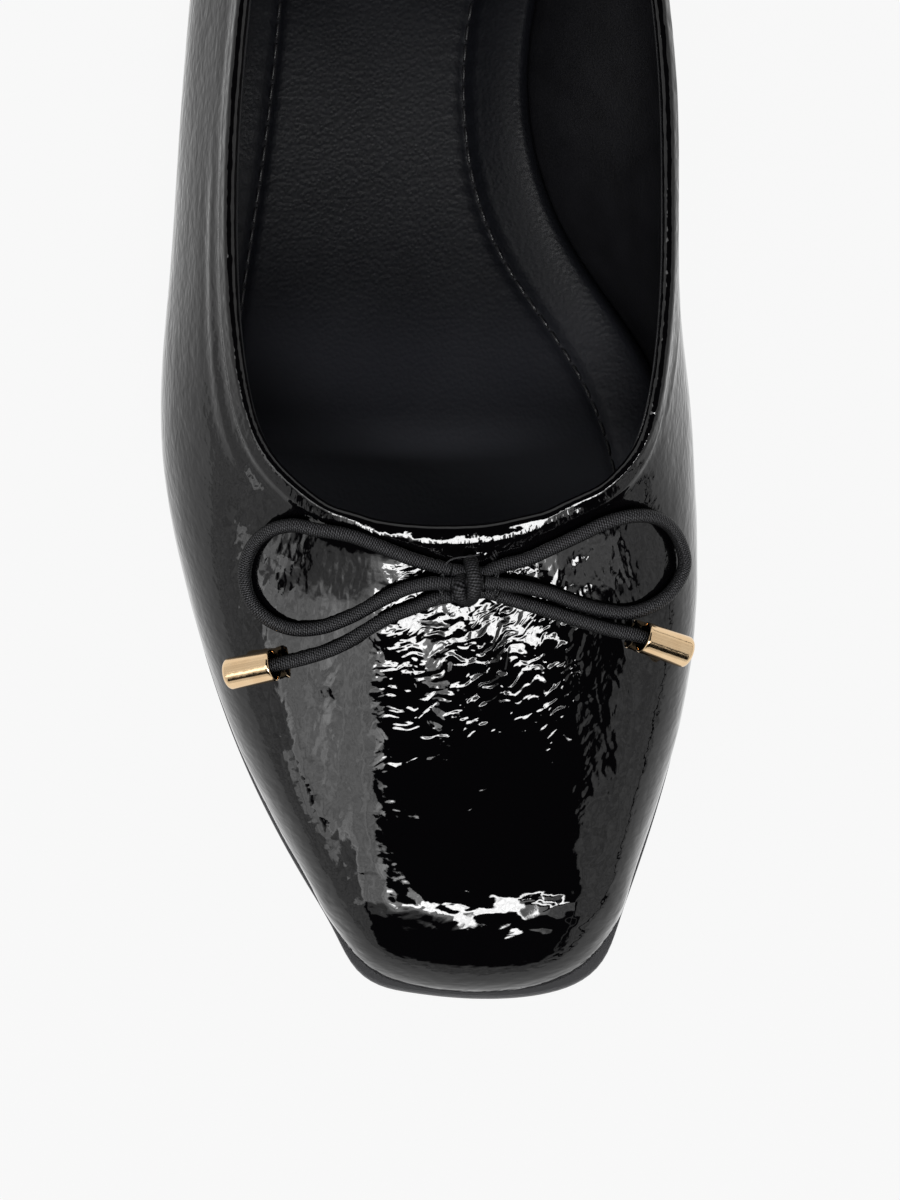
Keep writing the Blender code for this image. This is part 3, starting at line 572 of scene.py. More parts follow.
def gold_material():
    """Polished pale gold with the faintest brushing and a few hairlines."""
    s = Shader("pale_gold")
    place = s.place()
    cloud = s.noise(place, 420.0)
    hair = s.noise(s.scaled(place, (400.0, 4200.0, 4200.0)), 1.0, 1.0)
    tone = s.blend(cloud, (0.80, 0.565, 0.33), (0.86, 0.635, 0.39))
    s.set(Base_Color=tone, Metallic=1.0, Roughness=s.vary(hair, 0.07, 0.12),
          Normal=s.bump(s.times(cloud, 0.02), MM))
    return s.material


def thread_material():
    """Twisted black sewing thread."""
    s = Shader("sewing_thread")
    twist = s.node("ShaderNodeTexWave", wave_type="BANDS", bands_direction="DIAGONAL", inputs={
        "Vector": s.place(), "Scale": 1400.0, "Distortion": 1.5, "Detail": 1.0}).outputs["Fac"]
    tone = s.mix(twist, (0.002, 0.002, 0.0025), (0.012, 0.012, 0.014))
    s.set(Base_Color=tone, Roughness=0.42, Specular_IOR_Level=0.5, Normal=s.bump(twist, 0.03 * MM))
    return s.material


PATENT = patent_material()
LINING = lining_material()
SOCK = sock_material()
SOLE = sole_material()
CORD = cord_material()
GOLD = gold_material()
THREAD = thread_material()


# Camera

CAMERA_ELEVATION = math.radians(82.0)
CAMERA_TARGET_MM = (3.24, -63.747, 15.0)
CAMERA_DISTANCE = 1.0
PHOTO_HEIGHT = 1200.0
MM_TO_A_PIXEL = 0.158
FILM_HEIGHT = 24.0


def add_camera():
    """The photograph's view: nearly straight down, the toe at the bottom and the heel beyond the top."""
    back = Vector((0.0, -math.cos(CAMERA_ELEVATION), math.sin(CAMERA_ELEVATION)))
    target = Vector(CAMERA_TARGET_MM) * MM + Vector(SHIFT)
    data = bpy.data.cameras.new("camera")
    data.sensor_fit = "VERTICAL"
    data.sensor_height = FILM_HEIGHT
    data.lens = FILM_HEIGHT * (CAMERA_DISTANCE / (MM_TO_A_PIXEL * MM)) / PHOTO_HEIGHT
    data.clip_start = 0.05
    data.clip_end = 20.0
    camera = bpy.data.objects.new("camera", data)
    camera.location = target + back * CAMERA_DISTANCE
    camera.rotation_euler = back.to_track_quat("Z", "Y").to_euler()
    bpy.context.scene.collection.objects.link(camera)
    bpy.context.scene.camera = camera


add_camera()


# The patent shell, with its folds

EDGE_FOOT, EDGE_TOP = edge_shares(last)
BEAD_RADIUS = 0.5 * (WALL + EDGE_STEP)


def shell_grid():
    """The smooth outer wall as rows of columns, its normals, and the distance down from the edge.

    The rows are closer together near the foot and near the edge.
    """
    even = np.linspace(0.0, 1.0, 112)
    shares = even - 0.045 * np.sin(2.0 * math.pi * even)
    rows = np.array([last.at(EDGE_TOP * share) for share in shares])
    normals = np.array([last.outward(EDGE_TOP * share) for share in shares])
    steps = np.linalg.norm(np.diff(rows, axis=0), axis=2)
    down = np.concatenate([np.cumsum(steps[::-1], axis=0)[::-1], np.zeros((1, rows.shape[1]))])
    return rows, normals, down


def edge_frame():
    """The folded edge: the ways out and up, and the middle of its thickness."""
    out = last.outward(EDGE_TOP)
    return out, unit(last.upward(EDGE_TOP)), last.at(EDGE_TOP) - out * (0.5 * (WALL - EDGE_STEP))


def hump(values, middle, width):
    return np.exp(-((values - middle) / width) ** 2)


def folds(rows, down):
    """Outward moves in metres: the folded band, its ridge, the vamp's creases and the quarters' pulls.

    The numbers in it are millimetres.
    """
    points = rows.reshape(-1, 3)
    slow = field(points, 9.0 * MM, 3).reshape(down.shape)
    quick = field(points, 3.2 * MM, 5).reshape(down.shape)
    x, y, z = np.moveaxis(rows, 2, 0) / MM
    down = down / MM
    vamp = smooth_step(-20.0, -50.0, y)
    inner = smooth_step(-112.0, -96.0, y)
    throat = smooth_step(-48.0, -56.0, y)
    middle = smooth_step(-3.5, 0.5, x) * smooth_step(17.0, 13.5, x)
    edge = EDGE_WIDTH / MM
    out = EDGE_STEP / MM * (1.0 - smooth_step(edge - 0.5, edge + 0.6, down + 0.2 * slow))
    out = out - 0.15 * hump(down, 3.7, 1.3) * (0.8 + 0.5 * slow) * (1.0 - throat)
    # The sunk band at the throat, and the ridge at its lip
    start = 0.4 + 2.2 * middle
    sunk = smooth_step(0.0, 1.0, (down - start) / 5.3) * (1.0 - smooth_step(9.5, 34.0, down))
    out = out - 0.50 * sunk * throat
    lip = 0.05 * (1.0 - 0.9 * throat * (1.0 - middle)) * (0.7 + 0.9 * quick)
    out = out + lip * hump(down - 0.2 * slow, 1.7, 0.45)
    # Waves, two hollows and a side ridge on the vamp
    out = out + vamp * (0.10 * slow * (0.35 + 0.65 * inner) + 0.030 * quick * inner)
    fall = smooth_step(-62.0, -77.0, y) * (1.0 - smooth_step(-77.0, -102.0, y))
    out = out - fall * (0.95 * hump(x, 13.2, 4.5) + 0.65 * hump(x, -1.4, 3.5))
    side = smooth_step(-54.0, -62.0, y) * (1.0 - smooth_step(-82.0, -98.0, y))
    out = out + 0.25 * side * hump(x, 24.0, 4.5)
    # Pulls along the quarters
    lateral = smooth_step(-20.0, -26.0, x) * smooth_step(-52.0, -40.0, y) * (1.0 - smooth_step(-8.0, 8.0, y))
    out = out + lateral * (0.16 * hump(down, 5.2, 0.9) - 0.13 * hump(down, 7.3, 1.2))
    medial = smooth_step(30.0, 36.0, x) * smooth_step(-46.0, -34.0, y) * (1.0 - smooth_step(-30.0, -12.0, y))
    out = out + 0.13 * medial * hump(down - (y + 40.0) * 0.22, 4.0, 0.8)
    # The bent ridge of the toe
    toe_line = y + 112.6 + 2.4 * hump(x, 4.8, 4.5) - hump(x, 14.0, 4.0)
    out = out + 0.28 * hump(toe_line, 0.0, 3.1)
    over_foot = z - (sole_top(rows[:, :, 1]) + GAP) / MM
    return out * (1.0 - smooth_step(3.0, 0.0, over_foot)) * MM


def shell_masks(rings, rows, normals, down):
    """How strongly each kind of relief shows, from 0 to about 1: crinkles, quarters' grain, toe and rim.

    The numbers in it are millimetres, and x and y are the finished part's.
    """
    x, y, _ = np.moveaxis(rings + SHIFT, 2, 0) * 1000.0
    no_bead = np.zeros((BEAD_RINGS, rings.shape[1]))
    at_bow = smooth_step(-9.0, -2.0, x) * smooth_step(18.0, 12.0, x) * smooth_step(-60.5, -62.5, y)
    under_bow = smooth_step(-11.0, -4.0, x) * smooth_step(28.0, 20.0, x)
    below_bow = at_bow + (under_bow - at_bow) * smooth_step(-64.0, -70.0, y)
    below_bow = below_bow * (0.30 + 0.70 * smooth_step(-92.0, -78.0, y))
    toe_cap = np.exp(-((y + 112.5) / 6.0) ** 2)
    crinkle = 0.08 + 0.97 * below_bow * smooth_step(-106.0, -92.0, y) + 0.06 * toe_cap
    rim = hump(down / MM, 1.8, 1.3) * smooth_step(-48.0, -54.0, rows[:, :, 1] / MM)
    rim = np.concatenate([rim, no_bead])
    steep = np.concatenate([smooth_step(0.82, 0.62, normals[:, :, 2]), no_bead])
    quarter = 1.0 - (0.93 - 0.60 * steep) * smooth_step(-36.0, -52.0, y)
    masks = {"crinkle": crinkle + 0.55 * rim, "quarter": quarter, "toe": toe_cap, "rim": rim}
    return {name: values.ravel() for name, values in masks.items()}


# The bead's rings, and how many of them make half a turn
BEAD_RINGS = 16
BEAD_HALF_TURN = 14


def make_upper():
    """The patent shell with its folded bead, and a tree that reads where its outer face lies."""
    rows, normals, down = shell_grid()
    steps = ring_steps(last.at(0.5))
    around, total = np.cumsum(steps) - steps, steps.sum()
    count = rows.shape[1]
    rings = list(rows + normals * folds(rows, down)[:, :, None])
    downs = list(down)
    out, up, middle = edge_frame()
    radius = BEAD_RADIUS + field(last.top, 3.0 * MM, 11) * 0.05 * MM
    for step in range(1, BEAD_RINGS + 1):
        turn = math.pi * step / BEAD_HALF_TURN
        outer, upper = radius * math.cos(turn), radius * math.sin(turn)
        rings.append(middle + out * outer[:, None] + up * upper[:, None])
        downs.append(-radius * turn)
    phase = 2.0 * math.pi * around / total
    ring_radius = 1000.0 * total / (2.0 * math.pi)
    level = [ring_radius * np.cos(phase), ring_radius * np.sin(phase)]
    grain = np.stack([np.stack(level + [-1000.0 * d], axis=1) for d in downs])
    rings = np.array(rings)
    attributes = shell_masks(rings, rows, normals, down)
    attributes["grain"] = grain.reshape(-1, 3)
    add_mesh("upper_patent", rings.reshape(-1, 3), ring_faces(len(rings), count), PATENT, "upper",
             attributes)
    outer_rings = len(rings) - BEAD_RINGS + BEAD_HALF_TURN // 2
    return BVHTree.FromPolygons([tuple(p) for p in rings[:outer_rings].reshape(-1, 3)],
                                ring_faces(outer_rings, count))


# The lining's lip: millimetres outward and up from the middle of the folded edge's inner side
LIP = ((0.25, -0.9), (0.16, 0.05), (0.02, 0.30), (-0.16, 0.34), (-0.27, 0.15), (-0.27, -0.20), (-0.14, -0.60))


def make_lining():
    """The lining: a rounded lip just inside the edge, then the inner face down into the crease."""
    out, up, middle = edge_frame()
    lip = middle - out * (BEAD_RADIUS + 0.02 * MM)
    rings = [lip + out * outer * MM + up * rise * MM for outer, rise in LIP]
    start = EDGE_TOP - 2.2 * MM / np.linalg.norm(last.upward(1.0), axis=1)
    for share in np.linspace(1.0, 0.0, 40):
        rings.append(last.wall(start * share, WALL))
    points = np.array(rings)
    points[-1][:, 2] = sole_top(points[-1][:, 1]) + GAP
    wave = field(points.reshape(-1, 3), 14.0 * MM, 21).reshape(points.shape[:2])
    mask = np.ones(len(rings))
    mask[:8] = 0.0
    mask[-4:] = 0.0
    inward = np.array([unit(p.mean(axis=0) - p) * (1.0, 1.0, 0.0) for p in points])
    points = points + inward * (0.12 * MM * (1.0 + wave) * mask[:, None])[:, :, None]
    add_mesh("upper_lining", points.reshape(-1, 3), ring_faces(len(rings), points.shape[1]), LINING,
             "upper")


vamp_tree = make_upper()
make_lining()


# The bow

def read_vamp(x, y):
    point, normal, _, _ = vamp_tree.ray_cast(Vector((x, y, 0.2)), Vector((0.0, 0.0, -1.0)))
    if normal.z < 0.0:
        normal = -normal
    return np.array(point), np.array(normal)


def resting_points(route):
    """Centres of a cord that lies on the vamp along a route."""
    centres = []
    for x, y, lift in route:
        point, normal = read_vamp(x * WIDTH, y * LENGTH)
        centres.append(point + normal * (0.5 * CORD_DIAMETER + GAP + lift * CORD_DIAMETER))
    return np.array(centres)


def smooth_path(points, step):
    """Evenly spaced points on a smooth curve through the given ones."""
    points = np.asarray(points)
    knots = run_lengths(points)
    slopes = np.gradient(points, knots, axis=0)
    fine = cubic(knots, points, slopes, np.linspace(0.0, knots[-1], 3000))
    runs = run_lengths(fine)
    count = max(3, round(runs[-1] / step) + 1)
    even = np.linspace(0.0, runs[-1], count)
    return np.stack([np.interp(even, runs, fine[:, k]) for k in range(3)], axis=1)


def rings_round(path, radius, sides):
    """Rings of points round a path, the way from the path to each point, and each side's turn."""
    tangents = unit(np.gradient(path, axis=0))
    side = np.cross(tangents[0], (0.0, 0.0, 1.0))
    turns = 2.0 * math.pi * np.arange(sides) / sides
    aways = []
    for tangent in tangents:
        side = unit(side - tangent * float(np.dot(side, tangent)))
        aways.append(np.outer(np.cos(turns), side) + np.outer(np.sin(turns), np.cross(tangent, side)))
    aways = np.array(aways)
    return path[:, None, :] + aways * radius, aways, turns


def add_tube(name, path, radius, material, node, sides=20):
    """A round tube along a path with closed ends; its points carry how far along and round they lie."""
    rings, aways, turns = rings_round(path, radius, sides)
    runs = run_lengths(path)
    points = np.concatenate([rings.reshape(-1, 3), path[:1], path[-1:]])
    along = np.concatenate([np.repeat(runs, sides), [0.0, runs[-1]]]) * 1000.0
    turn = np.concatenate([np.tile(turns, len(path)), [0.0, 0.0]])
    # How much each point faces up; the cord's painted highlight follows it
    top = np.concatenate([np.maximum(aways[:, :, 2].ravel(), 0.0) ** 1.3, [0.0, 0.0]])
    faces = ring_faces(len(path), sides)
    last_ring = (len(path) - 1) * sides
    for start, tip in ((0, len(points) - 2), (last_ring, len(points) - 1)):
        faces += [(tip, start + i, start + (i + 1) % sides) for i in range(sides)]
    attributes = {"along": along, "turn": turn, "top": top}
    return add_mesh(name, points, faces, material, node, attributes)


def tip_frame(tip):
    point, normal = read_vamp(tip.x * WIDTH, tip.y * LENGTH)
    heading, fall = math.radians(tip.heading_degrees), math.radians(tip.fall_degrees)
    level = np.array([math.cos(heading), math.sin(heading), 0.0])
    axis = level * math.cos(fall) - np.array([0.0, 0.0, math.sin(fall)])
    away = unit(normal - axis * float(np.dot(normal, axis)))
    return point + normal * (0.5 * AGLET_DIAMETER + GAP), axis, away


def cord_into_tip(route, tip):
    mouth, axis, away = tip_frame(tip)
    low = mouth - away * (0.5 * AGLET_DIAMETER - AGLET_WALL - 0.5 * CORD_DIAMETER - GAP)
    inside = [low, low + axis * 0.5 * CORD_IN_AGLET, low + axis * CORD_IN_AGLET]
    return np.concatenate([resting_points(route), inside])


def add_aglet(name, tip):
    """A turned cup: a chamfered open mouth, a thin bored wall and a crowned closed end."""
    mouth, axis, away = tip_frame(tip)
    side = np.cross(axis, away)
    outer = 0.5 * AGLET_DIAMETER
    bore = outer - AGLET_WALL
    floor = AGLET_LENGTH - 2.0 * AGLET_WALL
    crown = 0.0008
    profile = [(floor, 0.0002), (floor, 0.7 * bore), (floor - 0.0002, 0.95 * bore), (floor - 0.0006, bore)]
    profile += [(along, bore) for along in np.linspace(floor - 0.001, 0.0003, 6)]
    profile += [(0.0001, bore + 0.00006), (0.0, bore + 0.00014), (0.0, outer - 0.00022)]
    profile += [(0.00003, outer - 0.00012), (0.00012, outer - 0.00003), (0.00026, outer)]
    profile += [(along, outer) for along in np.linspace(0.0006, AGLET_LENGTH - 0.0010, 10)]
    for turn in np.linspace(0.0, 0.5 * math.pi, 9):
        along = AGLET_LENGTH - crown + crown * math.sin(turn)
        profile.append((along, outer - crown + crown * math.cos(turn)))
    profile += [(AGLET_LENGTH, 0.6 * outer), (AGLET_LENGTH, 0.0002)]
    sides = 72
    points = []
    for along, radius in profile:
        for k in range(sides):
            turn = 2.0 * math.pi * k / sides
            points.append(mouth + axis * along + (away * math.cos(turn) + side * math.sin(turn)) * radius)
    faces = closed_faces(len(profile), sides)
    return add_mesh(name + "_metal", points, faces, GOLD, name, sharp=SHARP_EDGE)


def add_run(side, kind, points):
    """One visible run of the bow's cord."""
    path = smooth_path(points, 0.45 * MM)
    piece = add_tube(f"cord_{kind}_{side}", path, 0.5 * CORD_DIAMETER, CORD, f"bow_{kind}_{side}")


def make_bow():
    """The two loops and the two ends with their tips."""
    aglets = [add_aglet(name, tip) for name, tip in (("aglet_left", TIP_LEFT), ("aglet_right", TIP_RIGHT))]
    for side, route in (("left", LOOP_LEFT), ("right", LOOP_RIGHT)):
        add_run(side, "loop", resting_points(route))
    ends = (("left", END_LEFT, TIP_LEFT), ("right", END_RIGHT, TIP_RIGHT))
    for (side, route, tip), aglet in zip(ends, aglets):
        add_run(side, "end", cord_into_tip(route, tip))


make_bow()


# The knot: one cord over the strands, round below and up beside itself, with its tack threads

def over_vamp(x, y, lift):
    """A point over the vamp: x and y in millimetres, lift in millimetres above the leather."""
    point, normal = read_vamp(x * MM, y * MM)
    return point + normal * lift * MM


KNOT_TURN = (
    (6.35, -60.20, 1.0), (6.55, -60.60, 2.6), (6.78, -61.50, 3.8), (6.93, -63.00, 4.25),
    (6.77, -64.60, 3.8), (6.40, -65.60, 2.7), (5.80, -65.95, 2.1), (5.20, -65.70, 2.7), (4.78, -64.90, 3.4),
    (4.65, -63.90, 3.5), (4.85, -63.00, 2.7), (5.30, -62.50, 1.5),
)
FILAMENT = (
    (2.5, -60.50, 2.3), (3.2, -59.80, 2.5), (4.2, -59.40, 2.7), (5.3, -59.15, 3.0), (6.4, -59.10, 2.7),
    (7.7, -59.00, 2.2),
)


def make_knot():
    """The turned cord, the short cores that carry the strands under it, and a loose filament."""
    path = smooth_path([over_vamp(*p) for p in KNOT_TURN], 0.22 * MM)
    add_tube("knot_turn", path, 1.15 * MM, KNOT, "bow_knot", sides=24)
    pairs = ((STRANDS[0][0], STRANDS[1][0]), (STRANDS[0][-1], STRANDS[1][-1]), (STRANDS[2][0], STRANDS[3][0]))
    for number, (start, end) in enumerate(pairs, 1):
        middle = 0.5 * (start + end) - np.array([0.0, 0.0, 0.2 * MM])
        path = smooth_path([start, middle, end], 0.4 * MM)
        add_tube(f"knot_core_{number}", path, 0.5 * CORD_DIAMETER, CORD, "bow_knot")
    path = smooth_path([over_vamp(*p) for p in FILAMENT], 0.2 * MM)
    add_tube("knot_filament", path, 0.14 * MM, THREAD, "bow_knot", sides=8)


def make_tacks():
    """Small bunches of sewing thread that cross the strands on both sides of the knot."""
    rng = np.random.default_rng(7)
    points, faces = [], []
    for middle, low, high, count in ((1.9, -66.2, -60.6, 13), (10.15, -65.9, -59.2, 16)):
        for k in range(count):
            centre = low + (high - low) * (k + 0.5) / count
            run = rng.uniform(0.8, 1.7)
            lean = rng.uniform(-0.9, 0.9)
            path = []
            for share in np.linspace(-0.5, 0.5, 7):
                x = middle + lean * share + rng.uniform(-0.05, 0.05) + 0.35 * math.sin(centre * 2.1)
                y = centre + run * share
                path.append((x, y, thread_height(x, y) + 0.10 - 0.5 * (2.0 * share) ** 2))
            path = smooth_path([over_vamp(*p) for p in path], 0.25 * MM)
            tube_into(points, faces, path, 0.13 * MM, 6)
    add_mesh("tack_threads", points, faces, THREAD, "bow_knot")


def thread_height(x, y):
    """Height in millimetres over the vamp at which a thread crosses the strands at a place."""
    best = 0.15
    for path in STRANDS:
        flat = np.linalg.norm(path[:, :2] - np.array([x, y]) * MM, axis=1)
        near = int(flat.argmin())
        if flat[near] < 1.1 * MM:
            ground, _ = read_vamp(x * MM, y * MM)
            rise = math.sqrt(max(0.0, (1.1 * MM) ** 2 - flat[near] ** 2))
            best = max(best, (path[near][2] + rise - ground[2]) / MM)
    return best


def tube_into(points, faces, path, radius, sides):
    """Adds one thin tube to a growing list of points and faces."""
    start = len(points)
    points.extend(rings_round(path, radius, sides)[0].reshape(-1, 3))
    faces += [tuple(start + i for i in face) for face in closed_faces(len(path), sides)]


# The knot's cord is the loops' cord painted 15% darker: painted shade
KNOT = cord_material("knot_cord_painted_shade", 0.85)
ROUTES = (LOOP_LEFT, LOOP_RIGHT, END_LEFT, END_RIGHT)
STRANDS = [smooth_path(resting_points(route), 0.3 * MM) for route in ROUTES]
make_knot()
make_tacks()


# The insole

INSOLE_COLUMNS = 360
STITCH_PITCH = 0.0033
SOCK_SMOOTHINGS = 3


def towards_spine(ring, distance):
    low = np.array(SPINE_TOE) * (WIDTH, LENGTH)
    high = np.array(SPINE_HEEL) * (WIDTH, LENGTH)
    along = np.clip((ring[:, 1] - low[1]) / (high[1] - low[1]), 0.0, 1.0)[:, None]
    way = low + (high - low) * along - ring[:, 0:2]
    out = ring.copy()
    out[:, 0:2] += way / np.linalg.norm(way, axis=1, keepdims=True) * np.reshape(distance, (-1, 1))
    return out


def ladder(ring, start, count, first_new, height, rungs):
    """Points and faces that fill a ring from side to side."""
    half = count // 2
    points, faces, rows = [], [], []
    for i in range(1, half):
        row = [start + i]
        for k in range(1, rungs):
            point = ring[i] + (ring[count - i] - ring[i]) * (k / rungs)
            row.append(first_new + len(points))
            points.append((point[0], point[1], float(height(point[1]))))
        row.append(start + count - i)
        rows.append(row)
    for row, after in zip(rows, rows[1:]):
        faces += [(row[k], after[k], after[k + 1], row[k + 1]) for k in range(rungs)]
    faces += [(start, rows[0][k], rows[0][k + 1]) for k in range(rungs)]
    faces += [(start + half, rows[-1][k + 1], rows[-1][k]) for k in range(rungs)]
    return points, faces


def make_insole():
    """The padded sock: puffed border, sewn channel with puckers, flat bed, and its stitches."""
    sock = Last(INSOLE_COLUMNS)
    bed = INSOLE_THICKNESS + GAP
    arch = np.clip(sock.columns.arch, 0.0, 1.0) * ARCH_RISE
    border = sock.columns.border * INSOLE_BORDER
    shoulder = sock.wall_at(0.7 * bed + arch, WALL + 0.6 * GAP)
    foot = sock.wall_at(GAP, WALL + 0.6 * GAP)
    line = towards_spine(shoulder, border)
    steps = ring_steps(line)
    runs, total = np.cumsum(steps) - steps, steps.sum()
    stitches = round(total / STITCH_PITCH)
    pitch = total / stitches
    pucker = 0.5 + 0.5 * np.cos(2.0 * math.pi * runs / pitch)
    low_wave = field(line, 24.0 * MM, 31) * 0.20 * MM
    puff, groove = INSOLE_PUFF, INSOLE_GROOVE
    stops = np.array([
        (0.00, -0.30 * bed, 1.00), (0.08, 0.55 * puff, 0.97), (0.20, 0.92 * puff, 0.86),
        (0.36, 1.04 * puff, 0.66), (0.54, 0.98 * puff, 0.42), (0.70, 0.78 * puff, 0.24),
        (0.83, 0.48 * puff, 0.11), (0.92, 0.12 * puff, 0.05), (0.97, -0.45 * groove, 0.02),
        (1.00, -0.80 * groove, 0.0), (1.03, -0.55 * groove, 0.0), (1.09, -0.05 * groove, 0.0),
        (1.20, 0.10 * groove, 0.0), (1.40, 0.0, 0.0), (1.70, 0.0, 0.0),
    ])
    fine = np.concatenate([np.linspace(a, b, n, endpoint=False) for a, b, n in
                           ((0.0, 0.20, 6), (0.20, 0.83, 10), (0.83, 1.20, 14), (1.20, 1.70, 4))] + [[1.70]])
    rings = [foot]
    for share in fine:
        rise = bed + np.interp(share, stops[:, 0], stops[:, 1])
        lean = np.interp(share, stops[:, 0], stops[:, 2])
        ring = towards_spine(shoulder, share * border)
        near = math.exp(-((share - 0.90) / 0.09) ** 2)
        far = math.exp(-((share - 1.10) / 0.07) ** 2)
        gather = (near * 0.22 + far * 0.10) * MM * (1.0 - 2.0 * pucker) * 0.5
        pad = low_wave * math.sin(math.pi * min(share, 1.0)) * (1.0 if share < 1.0 else 0.0)
        ring[:, 2] = sole_top(ring[:, 1]) + rise + arch * lean + gather + pad
        rings.append(ring)
    count = len(foot)
    last_ring = len(rings) - 1
    for _ in range(SOCK_SMOOTHINGS):
        for r in range(2, last_ring):
            rings[r][:, 2] = 0.25 * rings[r - 1][:, 2] + 0.5 * rings[r][:, 2] + 0.25 * rings[r + 1][:, 2]
    points = [tuple(p) for ring in rings for p in ring]
    faces = ring_faces(len(rings), count)
    more, fill = ladder(rings[-1], last_ring * count, count, len(points),
                        lambda y: sole_top(y) + bed, 24)
    base, under = ladder(rings[0], 0, count, len(points) + len(more), lambda y: sole_top(y) + GAP, 8)
    piece = add_mesh("insole_pad", points + more + base, faces + fill + under, SOCK, "insole")
    seam = rings[1 + int(np.argmin(np.abs(fine - 1.0)))]
    add_stitches(seam, runs, total, pitch, stitches)


def add_stitches(seam, runs, total, pitch, count):
    """One short thread in each pucker along the channel."""
    points, faces = [], []
    loop = np.concatenate([seam, seam[:1]])
    places = np.concatenate([runs, [total]])
    for k in range(count):
        middle = (k + 0.5) * pitch
        path = []
        for share in np.linspace(-0.5, 0.5, 9):
            run = (middle + share * 0.78 * pitch) % total
            place = np.array([np.interp(run, places, loop[:, axis]) for axis in range(3)])
            place[2] += 0.16 * MM + 0.10 * MM * (1.0 - (2.0 * share) ** 2) - 0.32 * MM * (2.0 * share) ** 6
            path.append(place)
        tube_into(points, faces, np.array(path), 0.24 * MM, 7)
    add_mesh("insole_stitches", points, faces, THREAD, "insole")


make_insole()


# Outsole and heel

def at_height(ring, height):
    out = ring.copy()
    out[:, 2] = height(out[:, 1])
    return out


def make_outsole():
    """The thin sole with softly rounded edges."""
    r = SOLE_ROUNDING
    levels = [(1.0, 0.0), (0.62, 0.04), (0.30, 0.16), (0.10, 0.40), (0.0, 0.80)]
    thick = SOLE_THICKNESS
    inner = towards_spine(sole_outline(last, r), 0.008)
    rings = [at_height(inner, underside)]
    rings += [at_height(sole_outline(last, a * r), lambda y, b=b: underside(y) + b * r) for a, b in levels]
    rings += [at_height(sole_outline(last, 0.0), lambda y: underside(y) + 0.5 * thick)]
    rings += [at_height(sole_outline(last, a * r), lambda y, b=b: sole_top(y) - b * r)
              for a, b in ((0.0, 0.55), (0.05, 0.30), (0.20, 0.10), (0.50, 0.0))]
    rings += [at_height(inner, sole_top)]
    count = len(inner)
    points = [tuple(p) for ring in rings for p in ring]
    faces = ring_faces(len(rings), count)
    low, low_faces = ladder(rings[0], 0, count, len(points), underside, 16)
    high, high_faces = ladder(rings[-1], (len(rings) - 1) * count, count, len(points) + len(low), sole_top, 8)
    under = [1.0] * count + [0.0] * (len(points) - count) + [1.0] * len(low) + [0.0] * len(high)
    faces += low_faces + high_faces
    add_mesh("outsole_body", points + low + high, faces, SOLE, "outsole",
             {"under": under}, sharp=50.0)


def heel_ring(inset, height):
    edge = sole_outline(last, inset)
    breast = -0.5 * LENGTH + HEEL_BREAST
    behind = edge[last.foot[:, 1] > breast]
    start, end = behind[0], behind[-1]
    points = [(p[0], p[1], height) for p in behind]
    steps = 24
    for k in range(1, steps):
        share = k / steps
        x = end[0] + (start[0] - end[0]) * share
        y = breast + inset * 0.5 + BREAST_HOLLOW * (1.0 - (2.0 * share - 1.0) ** 2) - BREAST_HOLLOW
        points.append((x, y, height))
    return np.array(points)


def make_heel():
    """The low block with its top piece: a fine groove two millimetres over the floor."""
    top = HEEL_HEIGHT - GAP
    levels = ((0.0, SOLE_ROUNDING), (0.0002, 0.0003), (0.0006, 0.0), (0.0019, -0.0001), (0.0021, 0.00035),
              (0.0024, 0.00035), (0.0026, -0.0001), (0.5 * top, -0.0005), (top, -HEEL_TAPER))
    rings = [heel_ring(HEEL_SETBACK + HEEL_TAPER + inset, z) for z, inset in levels]
    count = len(rings[0])
    points = np.concatenate(rings)
    under = [1.0] * count + [0.0] * (len(points) - count)
    add_mesh("heel_block", points, closed_faces(len(rings), count), SOLE, "heel",
             {"under": under}, SHARP_EDGE)


make_outsole()
make_heel()


# Light, floor and surroundings

class Chart(Nodes):
    """Places on the sky in degrees: tilt from straight up, x to the medial side and y to the toe."""

    def __init__(self, tree):
        super().__init__(tree)
        way = self.node("ShaderNodeTexCoord").outputs["Generated"]
        split = self.node("ShaderNodeSeparateXYZ", inputs={"Vector": way})
        x, y, z = split.outputs
        self.tilt = self.times(self.math("ARCCOSINE", z), 180.0 / math.pi)
        level = self.math("SQRT", self.minus(1.0001, self.times(z, z)))
        stretch = self.math("DIVIDE", self.tilt, level)
        self.x = self.times(x, stretch)
        self.y = self.times(y, -1.0, stretch)

    def ramp(self, value, start, end, low=0.0, high=1.0):
        """A soft step from low to high between start and end, which may fall."""
        if start > end:
            return self.spread(value, end, start, high, low, smooth=True)
        return self.spread(value, start, end, low, high, smooth=True)

    def band(self, value, low, high, soft):
        """One between low and high and nothing outside them, with soft edges."""
        return self.times(self.ramp(value, low - soft, low + soft),
                          self.ramp(value, high + soft, high - soft))


def add_floor():
    """A plain pale floor that is lit evenly."""
    mesh = bpy.data.meshes.new("floor")
    corners = [(-3.0, -3.0, 0.0), (3.0, -3.0, 0.0), (3.0, 3.0, 0.0), (-3.0, 3.0, 0.0)]
    mesh.from_pydata(corners, [], [(0, 1, 2, 3)])
    s = Shader("floor_white")
    s.set(Base_Color=(0.02, 0.02, 0.02), Roughness=0.9, Specular_IOR_Level=0.0,
          Emission_Color=(1.0, 1.0, 1.0), Emission_Strength=0.918)
    mesh.materials.append(s.material)
    floor = bpy.data.objects.new("floor", mesh)
    bpy.context.scene.collection.objects.link(floor)


KEY_LEVEL = 23.0
RIGHT_LEVEL = 1.1
WING_LEVEL = 1.4
WALL_LEVEL = 0.82
DARK_LEVEL = 0.006


